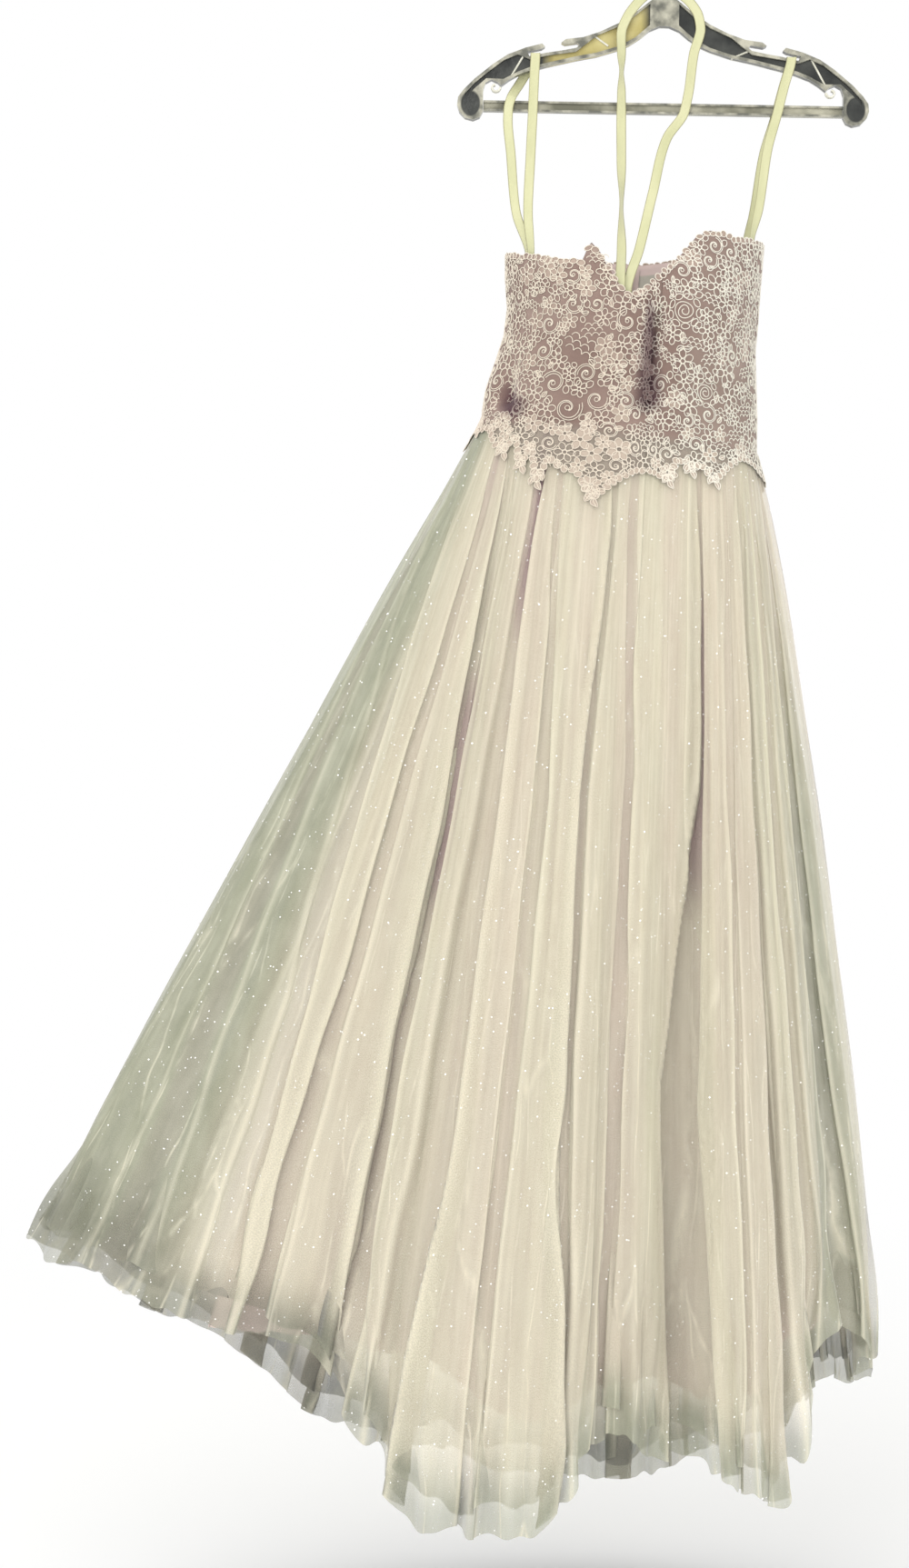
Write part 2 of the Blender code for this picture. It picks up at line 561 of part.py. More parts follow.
def folded_tulle(shares):
    """Points of the folded tulle: four columns to a fold."""
    folds = tulle_folds()
    ridges = ridge_angles(folds, shares)
    following = np.concatenate([ridges[:, 1:], np.full((len(shares), 1), 360.0)], axis=1)
    depth, place, half = (np.array([fold[k] for fold in folds]) for k in (3, 4, 5))
    stops = np.stack([np.zeros_like(place), place - half, place, place + half])
    depth_shares = (0.0, 0.12, 1.0, 0.12)
    angles = np.stack([ridges + (following - ridges) * stop for stop in stops], axis=-1)
    angles = angles.reshape(len(shares), -1)
    levels = np.array(shares)[:, None] * np.ones_like(angles)
    form = skirt_points(angles, levels, TULLE_HEM, 0.0)
    outward = level_normals(form)
    crest = form[:, ::4]
    pitch = np.linalg.norm(np.roll(crest, -1, axis=1) - crest, axis=-1)
    rise = np.interp(shares, [row[0] for row in FOLD_RISE], [row[1] for row in FOLD_RISE])
    deep = np.minimum(depth[None, :] * rise[:, None], pitch * MOST_DEPTH_PER_PITCH)
    inward = np.stack([deep * share for share in depth_shares], axis=-1).reshape(len(shares), -1)
    return form - outward * inward[..., None]


def make_tulle():
    """Make the front and back of the gathered tulle skirt."""
    points = folded_tulle(TULLE_RINGS)
    columns = points.shape[1]
    left = 4 * BACK_FOLD_COUNT
    inner_side = -HALF_GAP - TULLE_WALL
    panel("skirt_tulle_back", points, -HALF_GAP, inner_side, "tulle", list(range(0, left + 1)))
    front = list(range(left, columns)) + [0]
    panel("skirt_tulle_front", points, -HALF_GAP, inner_side, "tulle", front)


def make_lining():
    """Make the front and back of the skirt lining."""
    columns = 2 * LINING_FOLDS
    angles = np.arange(columns) * 360.0 / columns
    angles = np.broadcast_to(angles, (len(LINING_RINGS), columns))
    shares = np.array(LINING_RINGS)[:, None] * np.ones_like(angles)
    form = skirt_points(angles, shares, LINING_HEM, LINING_TOP_GAP)
    outward = level_normals(form)
    valley = np.arange(columns) % 2
    stand_off = LINING_STAND_OFF * smooth_step(shares / 0.1)
    away_from_seams = smooth_step(np.abs(np.sin(np.radians(angles))) / 0.5)
    fold = LINING_FOLD_DEPTH * valley * smooth_step(shares / 0.8) * away_from_seams
    points = form - outward * (stand_off + fold)[..., None]
    left = columns // 2
    panel("skirt_lining_back", points, 0.0, -LINING_WALL, "lining", list(range(0, left + 1)))
    panel("skirt_lining_front", points, 0.0, -LINING_WALL, "lining", list(range(left, columns)) + [0])


def ribbon_seat(angle, inward):
    """Points of a ribbon's sewn end, from its end up to the bodice's top edge."""
    neck = straight_round(NECKLINE, 1, np.array([angle]))[0]
    heights = neck + np.array(SEAT_HEIGHTS)
    angles = np.full(len(heights), angle)
    points, outward = bodice_points(angles, heights)
    return points - outward * inward, outward


def ribbon(name):
    """Make one flat ribbon loop, sewn in at both ends."""
    first_angle, first_inward, last_angle, last_inward = LOOP_SEATS[name]
    free = np.array(LOOP_RUNS[name])
    first, first_outward = ribbon_seat(first_angle, first_inward)
    last, last_outward = ribbon_seat(last_angle, last_inward)
    route = np.concatenate([first, free[:, :3], last[::-1]])
    heading, tilt = np.radians(free[:, 3]), np.radians(free[:, 4])
    faces_out = np.stack([np.sin(heading) * np.cos(tilt), -np.cos(heading) * np.cos(tilt),
                          np.sin(tilt)], axis=-1)
    wanted = np.concatenate([first_outward * math.copysign(1.0, first_outward[-1] @ faces_out[0]),
                             faces_out,
                             last_outward[::-1] * math.copysign(1.0, last_outward[-1] @ faces_out[-1])])
    steps = np.diff(route, axis=0)
    steps /= np.linalg.norm(steps, axis=-1, keepdims=True)
    runs = np.concatenate([steps[:1], steps[:-1] + steps[1:], steps[-1:]])
    runs /= np.linalg.norm(runs, axis=-1, keepdims=True)
    vertices = []
    for point, run, face in zip(route, runs, wanted):
        face = face - run * np.dot(face, run)
        face /= np.linalg.norm(face)
        width = np.cross(run, face)
        for across, out in ((-1, -1), (1, -1), (1, 1), (-1, 1)):
            vertices.append(point + width * across * RIBBON_WIDTH / 2 + face * out * RIBBON_WALL / 2)
    faces = [(0, 1, 2, 3)]
    end = 4 * (len(route) - 1)
    for start in range(0, end, 4):
        for corner in range(4):
            near, near_after = start + corner, start + (corner + 1) % 4
            far, far_after = near + 4, near_after + 4
            split = (far, near_after) if corner == 2 else (near, far_after)
            faces.append((near, far, split[1]))
            faces.append((split[0], far_after, near_after))
    faces.append((end + 3, end + 2, end + 1, end))
    return make_object(name, vertices, faces, "ribbon")


def hanger_place(across, height):
    """Place a point of the upright hanger in the part, with its slight tilt."""
    above = height - HANGER_PIVOT_HEIGHT
    x = HANGER_CENTRE_X + across * math.cos(HANGER_TILT) + above * math.sin(HANGER_TILT)
    z = HANGER_PIVOT_HEIGHT - across * math.sin(HANGER_TILT) + above * math.cos(HANGER_TILT)
    return x, z


def flat_prism(name, outline, front, back, finish, collection):
    """Make a prism from an outline of x and z, between two depths along y."""
    count = len(outline)
    area = sum(a[0] * b[1] - b[0] * a[1] for a, b in zip(outline, outline[1:] + outline[:1]))
    loop = outline if area > 0 else outline[::-1]
    vertices = [(x, front, z) for x, z in loop] + [(x, back, z) for x, z in loop]
    faces = [tuple(range(count)), tuple(range(2 * count - 1, count - 1, -1))]
    for place in range(count):
        after = (place + 1) % count
        faces.append((after, place, place + count, after + count))
    piece = make_object(name, vertices, faces, finish)
    if collection is not gown_collection:
        gown_collection.objects.unlink(piece)
        collection.objects.link(piece)
        piece.hide_render = True
        piece.display_type = "WIRE"
    return piece


def make_hanger():
    """Make the moulded body with its sunk arm panels, and its trouser bar."""
    right = [hanger_place(x, z) for x, z in HANGER_HALF_OUTLINE]
    left = [hanger_place(-x, z) for x, z in reversed(HANGER_HALF_OUTLINE)]
    half_depth = HANGER_DEPTH / 2
    body = flat_prism("hanger_body", left + right, -half_depth, half_depth, "hanger", gown_collection)
    for side in (-1, 1):
        top = [hanger_place(side * x, high) for x, high, low in ARM_PANEL]
        bottom = [hanger_place(side * x, low) for x, high, low in reversed(ARM_PANEL)]
        for face in (-1, 1):
            near = face * HANGER_WEB / 2
            far = face * (half_depth + 1.0)
            name = f"cut_arm_{'left' if side < 0 else 'right'}_{'front' if face < 0 else 'back'}"
            cutter = flat_prism(name, top + bottom, min(near, far), max(near, far), "hanger",
                                cutter_collection)
            cut = body.modifiers.new(name, "BOOLEAN")
            cut.operation = "DIFFERENCE"
            cut.object = cutter
    make_bar()


def make_bar():
    """Make the trouser bar, a rolled section between the hanger's two ends."""
    high = BAR_HEIGHT / 2
    deep = BAR_DEPTH / 2
    web = BAR_WEB / 2
    inside = high - BAR_FLANGE
    section = (
        (-deep, -high), (deep, -high), (deep, -inside), (web, -inside), (web, inside),
        (deep, inside), (deep, high), (-deep, high), (-deep, inside), (-web, inside),
        (-web, -inside), (-deep, -inside),
    )
    vertices = []
    for across in (-BAR_HALF_LENGTH, BAR_HALF_LENGTH):
        for y, above in section:
            x, z = hanger_place(across, BAR_LEVEL + above)
            vertices.append((x, y, z))
    count = len(section)
    faces = [tuple(range(count - 1, -1, -1)), tuple(range(count, 2 * count))]
    for place in range(count):
        after = (place + 1) % count
        faces.append((place, after, after + count, place + count))
    make_object("hanger_bar", vertices, faces, "hanger")


def make_hook():
    """Make the wire hook: stem, bend and the round that sits on the rail."""
    radius = HOOK_INNER_RADIUS + HOOK_WIRE / 2
    boss_x, boss_z = hanger_place(0.0, BOSS_TOP)
    route = [(boss_x, boss_z + SEAM_GAP), *HOOK_BEND]
    for turn in range(-48, 205, 12):
        angle = math.radians(turn)
        route.append((radius * math.cos(angle), radius * math.sin(angle) - HOOK_INNER_RADIUS))
    curve = bpy.data.curves.new("hanger_hook", "CURVE")
    curve.dimensions = "3D"
    curve.bevel_depth = HOOK_WIRE / 2 * MM
    curve.bevel_resolution = 2
    curve.use_fill_caps = True
    line = curve.splines.new("POLY")
    line.points.add(len(route) - 1)
    for point, (x, z) in zip(line.points, route):
        point.co = (x * MM, 0.0, z * MM, 1.0)
    curve.materials.append(make_material("wire"))
    gown_collection.objects.link(bpy.data.objects.new("hanger_hook", curve))


def new_collection(name):
    """Return an empty collection in the scene, made once."""
    collection = bpy.data.collections.get(name)
    if collection is None:
        collection = bpy.data.collections.new(name)
        bpy.context.scene.collection.children.link(collection)
    return collection


for old in list(bpy.data.objects):
    bpy.data.objects.remove(old, do_unlink=True)
gown_collection = new_collection("evening_gown")
cutter_collection = new_collection("cutters")
make_bodice()
make_zip()
make_tulle()
make_lining()
for loop_name in LOOP_RUNS:
    ribbon(loop_name)
make_hanger()
make_hook()
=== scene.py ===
"""Strapless evening gown on a hanger: tulle, lining, corded lace, ribbons and hanger.

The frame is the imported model, in metres, +Z up and -Y to the front. Angles round
the gown are in degrees: 0 at the right side, 90 at the centre back, 180 at the
left side and 270 at the centre front. Sizes are in millimetres, unless a comment
says metres, and the materials' own are in metres.
"""
import json
import math
import random

import bmesh
import bpy
import numpy as np
from bpy.props import FloatProperty, FloatVectorProperty, IntProperty, PointerProperty
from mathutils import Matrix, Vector

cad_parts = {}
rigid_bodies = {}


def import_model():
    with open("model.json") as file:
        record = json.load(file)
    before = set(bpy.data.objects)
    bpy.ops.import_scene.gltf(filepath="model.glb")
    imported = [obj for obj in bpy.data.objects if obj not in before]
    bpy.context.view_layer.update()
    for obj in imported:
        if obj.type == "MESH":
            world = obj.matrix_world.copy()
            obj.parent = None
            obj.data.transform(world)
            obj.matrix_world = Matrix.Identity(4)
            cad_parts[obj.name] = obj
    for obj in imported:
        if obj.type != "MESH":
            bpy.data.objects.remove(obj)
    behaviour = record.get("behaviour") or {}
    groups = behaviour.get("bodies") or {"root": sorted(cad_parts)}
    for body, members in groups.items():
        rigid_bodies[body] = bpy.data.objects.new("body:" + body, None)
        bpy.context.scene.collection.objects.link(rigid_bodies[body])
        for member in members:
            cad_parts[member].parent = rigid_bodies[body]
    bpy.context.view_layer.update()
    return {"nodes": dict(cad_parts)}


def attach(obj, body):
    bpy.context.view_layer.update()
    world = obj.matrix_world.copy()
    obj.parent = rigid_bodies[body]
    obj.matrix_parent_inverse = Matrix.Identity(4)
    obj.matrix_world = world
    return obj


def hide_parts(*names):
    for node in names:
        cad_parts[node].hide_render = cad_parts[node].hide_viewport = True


bl_info = {
    "name": "Evening Gown",
    "version": (1, 0, 0),
    "blender": (4, 5, 0),
    "location": "3D View > Sidebar > Gown",
    "description": "Makes the cloth, lace, ribbons and hanger finish of an evening gown",
    "category": "Object",
}

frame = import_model()

MM = 0.001

# Form of the gown, as in the part's source
WAIST_CENTRE_X = -45.0
WAIST_HALF_WIDTH = 140.0
WAIST_FRONT = 72.0
WAIST_BACK = 68.0
WAIST_HEIGHT = -515.0
WAIST_TILT = 18.0
BODICE_TOP = -316.0
FRONT_SEAM = 280.0
BODICE_OUTSIDE = 2.75
BODICE_INSIDE = 0.75
SKIRT_LACE_OUTSIDE = 1.3

BODICE_SECTIONS = (
    # share, left x, right x, front, back
    (0.00, -185.0, 95.0, 72.0, 68.0),
    (0.17, -180.0, 95.5, 78.0, 69.0),
    (0.33, -170.0, 94.5, 86.0, 72.0),
    (0.48, -161.0, 93.5, 94.0, 75.0),
    (0.64, -157.5, 96.5, 99.0, 79.0),
    (0.80, -159.5, 99.0, 98.0, 82.0),
    (1.00, -159.5, 103.0, 83.0, 86.0),
)
NECKLINE = (
    # angle, height
    (0.0, -318.0), (12.0, -320.0), (24.0, -316.5), (36.0, -319.5), (48.0, -316.5),
    (60.0, -319.5), (72.0, -317.0), (84.0, -319.5), (96.0, -317.5), (108.0, -320.0),
    (120.0, -318.0), (132.0, -321.0), (144.0, -319.5), (156.0, -323.0), (168.0, -322.0),
    (180.0, -327.0), (194.0, -329.0), (208.0, -335.0), (218.6, -339.0), (226.0, -343.0),
    (234.8, -348.7), (240.5, -349.0), (245.0, -351.0), (248.2, -330.5), (252.4, -342.0),
    (255.7, -356.0), (260.6, -374.5), (265.8, -387.0), (272.7, -380.0), (277.0, -368.0),
    (282.7, -358.8), (288.9, -343.6), (295.2, -325.0), (302.0, -316.5), (309.8, -317.0),
    (317.6, -322.0), (324.0, -319.0), (330.4, -320.0), (340.0, -318.5), (350.0, -320.0),
)
LACE_EDGE = (
    # angle, drop below the waist seam
    (8.0, 32.0), (18.0, 14.0), (30.0, 40.0), (40.0, 16.0), (52.0, 52.0), (62.0, 26.0),
    (72.0, 60.0), (82.0, 34.0), (90.0, 74.0), (98.0, 34.0), (108.0, 58.0), (118.0, 26.0),
    (130.0, 50.0), (140.0, 18.0), (152.0, 42.0), (164.0, 14.0), (174.0, 26.0),
    (184.0, 12.0), (191.0, 14.0), (203.4, 12.0), (210.8, 27.0), (217.4, 38.0),
    (223.1, 19.0), (228.2, 51.0), (232.1, 27.0), (236.6, 66.0), (240.5, 40.0),
    (246.0, 50.0), (252.9, 51.0), (259.5, 78.0), (267.9, 56.0), (275.4, 44.0),
    (282.9, 42.0), (289.6, 49.0), (293.4, 25.0), (299.2, 36.0), (304.6, 27.0),
    (311.0, 44.0), (319.4, 25.0), (330.0, 12.0), (340.4, 16.0), (352.0, 26.0),
)
TULLE_HEM = (
    # angle, x, y, z
    (0.0, 230.6, 0.0, -1468.5), (10.0, 226.0, 38.0, -1500.0), (30.0, 195.0, 120.0, -1520.0),
    (45.0, 150.0, 165.0, -1572.0), (65.0, 60.0, 205.0, -1620.0), (90.0, -60.0, 222.0, -1655.0),
    (105.0, -160.0, 225.0, -1640.0), (120.0, -270.0, 215.0, -1612.0),
    (135.0, -380.0, 190.0, -1566.0), (150.0, -480.0, 150.0, -1480.0),
    (165.0, -590.0, 85.0, -1410.0), (180.0, -661.0, 0.0, -1353.0),
    (207.0, -479.5, -90.0, -1418.6), (221.0, -363.9, -130.0, -1444.5),
    (233.5, -294.1, -205.0, -1554.5), (245.0, -226.7, -235.0, -1589.5),
    (254.0, -189.6, -240.0, -1589.7), (264.0, -124.0, -235.0, -1584.3),
    (269.0, -93.7, -215.0, -1551.8), (274.0, -83.9, -195.0, -1520.4),
    (286.0, -39.1, -180.0, -1519.0), (301.0, 8.1, -165.0, -1545.9),
    (310.0, 37.8, -205.0, -1545.8), (324.0, 86.4, -200.0, -1566.4),
    (334.0, 123.2, -160.0, -1566.7), (342.0, 151.7, -110.0, -1476.1),
    (350.0, 180.0, -60.0, -1427.6),
)
LINING_HEM = (
    # angle, x, y, z
    (0.0, 170.0, 0.0, -1437.0), (20.0, 164.0, 44.0, -1445.0), (45.0, 110.0, 112.0, -1465.0),
    (65.0, 40.0, 142.0, -1485.0), (90.0, -58.0, 156.0, -1500.0), (120.0, -235.0, 150.0, -1490.0),
    (135.0, -330.0, 130.0, -1475.0), (150.0, -410.0, 95.0, -1458.0),
    (165.0, -455.0, 45.0, -1445.0), (180.0, -480.0, -10.0, -1436.0),
    (207.0, -370.0, -55.0, -1441.0), (221.0, -300.0, -85.0, -1442.0),
    (233.5, -240.0, -150.0, -1452.0), (245.0, -192.0, -168.0, -1478.0),
    (264.0, -112.0, -165.0, -1500.0), (274.0, -82.0, -142.0, -1482.0),
    (286.0, -42.0, -124.0, -1466.0), (301.0, 8.0, -110.0, -1481.0),
    (324.0, 70.0, -128.0, -1507.0), (334.0, 86.0, -108.0, -1498.0),
    (342.0, 106.0, -76.0, -1481.0), (350.0, 128.0, -38.0, -1455.0),
)
FLARE = (
    # angle, exponent
    (0.0, 0.72), (45.0, 0.80), (90.0, 0.88), (180.0, 0.97), (230.0, 0.95),
    (265.0, 0.92), (290.0, 0.86), (315.0, 0.76), (340.0, 0.72),
)
FOLD_RISE = (
    (0.0, 0.0), (0.02, 0.04), (0.05, 0.13), (0.10, 0.24), (0.20, 0.42), (0.36, 0.60),
    (0.58, 0.77), (0.80, 0.90), (1.0, 1.0),
)

# Deep folds of the front. Each row is the recess between two lips of cloth
RECESS_LEVELS = (0.0, 0.10, 0.35, 0.65, 0.95)
FRONT_RECESSES = (
    # left and right lip at each level, depth, overhang of each lip, first and last share where the painted
    # shade of the recess is deepest
    ((186, 187, 190, 193, 194), (189, 190, 194, 197, 199), 6, 0.6, 0.4, 0.0, 0.0),
    ((192, 193, 200.7, 205, 206), (199, 202, 205.4, 208.8, 210.5), 8, 0.4, 1.0, 0.0, 0.0),
    ((213, 214.0, 212.9, 212.3, 211.8), (216.5, 217, 216, 215.5, 215.2), 9, 1.4, 0.4, 0.0, 0.12),
    ((221, 221.1, 223.1, 222.8, 222.5), (227, 227.0, 226.8, 226.5, 226.2), 20, 2.2, 0.5, 0.28, 0.50),
    ((236, 235.5, 232.8, 231.0, 229.6), (240, 239.4, 240.1, 240.0, 235.4), 24, 0.5, 2.4, -0.1, 0.20),
    ((244.5, 245.0, 249.8, 248.2, 246.6), (248.5, 249.0, 254.4, 253.0, 252.0), 13, 0.8, 0.6, 0.0, 0.0),
    ((266, 266.1, 260.7, 261.1, 264.8), (269, 269.0, 264.4, 265.0, 267.6), 16, 2.2, 0.5, 0.0, 0.0),
    ((274.5, 274.5, 277.0, 276.0, 275.5), (278, 278.2, 281.0, 280.2, 279.4), 9, 0.6, 0.8, 0.0, 0.0),
    ((303, 303.2, 302.8, 291.5, 296.2), (306, 306.6, 306.2, 304.0, 310.0), 30, 2.0, 1.2, 0.16, 0.46),
    ((316, 316.0, 315.6, 317.0, 319.0), (318.5, 318.6, 318.6, 320.0, 322.0), 7, 0.8, 0.3, 0.0, 0.0),
    ((325, 325.4, 325.9, 328.1, 331.2), (330, 329.8, 330.8, 333.4, 336.4), 23, 2.4, 0.8, 0.38, 0.52),
    ((336, 336.0, 336.2, 338.0, 341.0), (339, 339.4, 340.2, 342.2, 345.0), 11, 1.0, 0.5, 0.0, 0.0),
    ((346, 346.0, 345.4, 347.6, 350.0), (350, 350.0, 350.2, 352.2, 355.0), 9, 0.4, 0.8, 0.0, 0.0),
)
BACK_RECESS_COUNT = 14
LIP_WIDTH = 0.85
LINING_TOP_INSET = 1.95
LINING_STAND_OFF = 9.0

# Hanging ribbons, as in the part's source
RIBBON_WIDTH = 10.0
RIBBON_THICK = 0.35
LOOP_SEATS = {
    # first angle, first distance in, last angle, last distance in
    "loop_left": (213.5, 1.0, 209.2, 3.8),
    "loop_centre": (261.5, 1.0, 264.5, 2.6),
    "loop_right": (335.0, 1.0, 25.0, 1.0),
}
SEAT_HEIGHTS = (-26.0, -12.0, 5.0)
LOOP_RUNS = {
    # x, y, z, heading of the face, tilt of the face
    "loop_left": (
        (-140.0, -38.0, -296.0, -18.0, 0.0), (-137.0, -16.0, -228.0, 0.0, 0.0),
        (-134.6, -5.7, -184.0, 0.0, 0.0), (-132.6, -5.6, -140.0, 0.0, 0.0),
        (-131.6, -5.5, -122.0, 0.0, 0.0), (-131.5, -5.5, -117.9, 0.0, 20.0),
        (-131.5, -5.0, -116.95, 0.0, 60.0), (-131.5, 0.0, -116.8, 0.0, 90.0),
        (-131.5, 5.0, -116.95, 180.0, 60.0), (-131.6, 5.5, -117.9, 180.0, 20.0),
        (-132.3, 5.6, -122.0, 180.0, 0.0), (-140.0, 5.8, -134.0, 180.0, 0.0),
        (-148.5, 6.2, -147.5, 180.0, 0.0), (-153.0, 1.0, -155.5, 180.0, 0.0),
        (-156.5, -5.4, -163.0, 175.0, 0.0), (-159.0, -6.4, -171.0, 170.0, 0.0),
        (-160.2, -6.8, -186.0, 168.0, 0.0), (-157.4, -13.6, -222.0, 164.0, 0.0),
        (-151.6, -28.6, -290.0, 154.0, 0.0),
    ),
    "loop_centre": (
        (-46.8, -76.0, -340.0, 10.0, 0.0), (-45.4, -52.0, -286.0, 62.0, 0.0),
        (-43.6, -24.0, -232.0, 10.0, 0.0), (-42.6, -6.6, -190.0, 0.0, 0.0),
        (-42.5, -8.4, -160.0, 25.0, 0.0), (-42.5, -9.4, -138.0, 60.0, 0.0),
        (-42.5, -8.4, -116.0, 20.0, 0.0), (-41.6, -5.8, -92.0, 0.0, 0.0),
        (-34.0, -5.8, -76.0, 0.0, 0.0), (-22.0, -5.0, -61.5, 0.0, 0.0),
        (-9.0, 2.6, -51.0, 0.0, 0.0), (3.0, 3.6, -49.4, 0.0, 0.0), (14.0, 2.6, -51.4, 0.0, 0.0),
        (27.0, -5.0, -62.5, 0.0, 0.0), (36.6, -5.8, -76.0, 0.0, 0.0),
        (39.8, -5.8, -92.0, 0.0, 0.0), (33.0, -5.9, -117.0, 0.0, 0.0),
        (27.0, -5.9, -160.0, 0.0, 0.0), (22.0, -6.6, -181.0, 0.0, 0.0),
        (6.2, -14.0, -204.0, 0.0, 0.0), (-13.0, -46.0, -272.0, -6.0, 0.0),
        (-29.0, -72.0, -336.0, -8.0, 0.0),
    ),
    "loop_right": (
        (97.6, -26.0, -284.0, 20.0, 0.0), (109.6, -11.0, -214.0, 6.0, 0.0),
        (119.4, -5.8, -180.0, 0.0, 0.0), (127.0, -5.6, -150.0, 0.0, 0.0),
        (133.6, -5.5, -127.0, 0.0, 0.0), (134.4, -5.5, -122.2, 0.0, 20.0),
        (134.5, -5.0, -121.25, 0.0, 60.0), (134.5, 0.0, -121.1, 0.0, 90.0),
        (134.5, 5.0, -121.25, 180.0, 60.0), (134.4, 5.5, -122.2, 180.0, 20.0),
        (133.6, 5.6, -127.0, 180.0, 0.0), (127.0, 5.8, -150.0, 180.0, 0.0),
        (119.0, 6.2, -180.0, 180.0, 0.0), (108.6, 12.0, -214.0, 176.0, 0.0),
        (97.0, 27.0, -284.0, 160.0, 0.0),
    ),
}

# Zip inside the centre back, as in the part's source
ZIP_WIDTH = 24.0
ZIP_SEAT = 0.8
ZIP_ANGLE = 90.0
ZIP_TOP = 192.0
ZIP_FOOT = 2.0
SLIDER_MIDDLE = 182.0

# Outlines of the slider and the puller, from the top down: height and half width
SLIDER_OUTLINE = ((5.5, 3.0), (4.8, 3.9), (0.5, 4.1), (-3.5, 3.6), (-5.5, 2.6))
PULLER_OUTLINE = ((0.0, 1.2), (-2.0, 2.4), (-16.0, 3.0), (-19.0, 2.4), (-20.0, 1.2))
SLIDER_THICK = 3.2
PULLER_THICK = 1.0
PULLER_STAND_OUT = 2.6
COIL_TURNS = 120
COIL_POINTS = 1000
COIL_LENGTH = 184.0

# Hanger, as in the part's source: the pivot and the angle of its tilt, and its thin web
HANGER_CENTRE_X = 1.9
HANGER_PIVOT_HEIGHT = -120.0
HANGER_TILT = math.radians(1.0)
HANGER_WEB = 3.0
ARM_RIBS = (
    # distance out and height of each end of a rib, on the left arm and then on the right
    ((-146.0, -122.0), (-158.0, -143.0)), ((-75.0, -98.0), (-58.0, -110.0)),
    ((90.0, -112.0), (70.0, -121.0)), ((152.0, -118.0), (168.0, -147.0)),
)
RIB_RADIUS = 1.1
CURL_PLACE = (174.4, -154.6)
CURL_REACH = (5.4, 2.4)
CURL_DEPTHS = (-2.2, 0.0, 2.2)

# Round thin web at each end of the hanger: its place in millimetres, its reach in metres
END_WEB_PLACE = (200.0, -172.5)
END_WEB_REACH = (0.0100, 1.0, 0.0132)

# Shadow in the creases of the bodice, in metres: x of the centre one, the heights between which it
# widens with its half widths there, the heights over which it starts and ends, and the side pinch
CREASE_X = -0.0165
CREASE_HEIGHTS = (-0.395, -0.487)
CREASE_REACH = (0.0050, 0.0165)
CREASE_TOP = (-0.378, -0.405)
CREASE_FOOT = (-0.500, -0.486)
PINCH_PLACE = (-0.149, -0.020, -0.487)
PINCH_REACH = (0.0145, 0.05, 0.0135)

# Sides of the skirt: first and last angle, the area of the tulle's cut in square metres, and the
# columns and rows of points in each layer
SIDES = {"front": (180.0, 360.0), "back": (0.0, 180.0)}
TULLE_CUT = {"front": 1.2, "back": 1.4}
OUTER_GRID = {"front": (720, 100), "back": (560, 100)}
UNDER_GRID = (420, 80)
LINING_GRID = (260, 60)

# Bodice: half the gap between two panels and the step between columns of points, in degrees, the
# rows above and below the waist seam, and how far the lace stands out of its ground
PANEL_GAP = 0.06
PANEL_STEP = 1.25
ROWS_ABOVE = 44
ROWS_BELOW = 8
CORD_PROUD = 0.55
FILL_EDGE_PROUD = 0.12
FILL_MIDDLE_PROUD = 0.75
CORD_SPACING = 1.7
LACE_SEED = 7
PANELS = {
    # panel of the bodice: first and last angle
    "back_right": (0.0, 90.0),
    "back_left": (90.0, 180.0),
    "front_left": (180.0, FRONT_SEAM),
    "front_right": (FRONT_SEAM, 360.0),
}

SPARKLE_RADIUS = 0.75

# Stage, in metres
FLOOR_LEVEL = -1.745
FLOOR_RINGS = (0.0, 0.6, 1.4, 2.4, 4.5)
FLOOR_SPOKES = 64
LIGHTS = (
    # name, place, aim, size, power in watts
    ("key light", (-1.6, -2.6, 0.9), (-0.2, 0.0, -0.9), 3.2, 46.0),
    ("fill light", (1.9, -2.2, -0.4), (-0.1, 0.0, -0.9), 2.4, 12.0),
)
CAMERA_PLACE = (-0.2155, -2.7, -0.8755)
CAMERA_HALF_HEIGHT = 0.815


# Shapes shared by the pieces

def smooth_step(value):
    """Ease from 0 to 1 as the value goes from 0 to 1."""
    value = np.clip(value, 0.0, 1.0)
    return value * value * (3.0 - 2.0 * value)


def bell(values, centre, reach):
    """Rise to 1 at the centre and fall away on both sides."""
    return np.exp(-((values - centre) / reach) ** 2)


def smooth_round(table, column, angles):
    """Read one column of a table of angles as a smooth closed curve."""
    knots = np.array([row[0] for row in table])
    values = np.array([row[column] for row in table])
    knots = np.concatenate([knots[-2:] - 360.0, knots, knots[:2] + 360.0])
    values = np.concatenate([values[-2:], values, values[:2]])
    slopes = np.gradient(values, knots)
    angles = np.mod(angles, 360.0)
    place = np.clip(np.searchsorted(knots, angles, side="right") - 1, 0, len(knots) - 2)
    width = knots[place + 1] - knots[place]
    share = (angles - knots[place]) / width
    rest = 1.0 - share
    start = (1.0 + 2.0 * share) * rest * rest
    end = share * share * (3.0 - 2.0 * share)
    start_slope = share * rest * rest * width
    end_slope = -share * share * rest * width
    return (start * values[place] + end * values[place + 1]
            + start_slope * slopes[place] + end_slope * slopes[place + 1])


def straight_round(table, column, angles):
    """Read one column of a table of angles as straight runs."""
    return np.interp(angles, [row[0] for row in table], [row[column] for row in table], period=360.0)


def waist_height(angles):
    """Height of the waist seam, lower on the right."""
    return WAIST_HEIGHT - WAIST_TILT * np.cos(np.radians(angles))


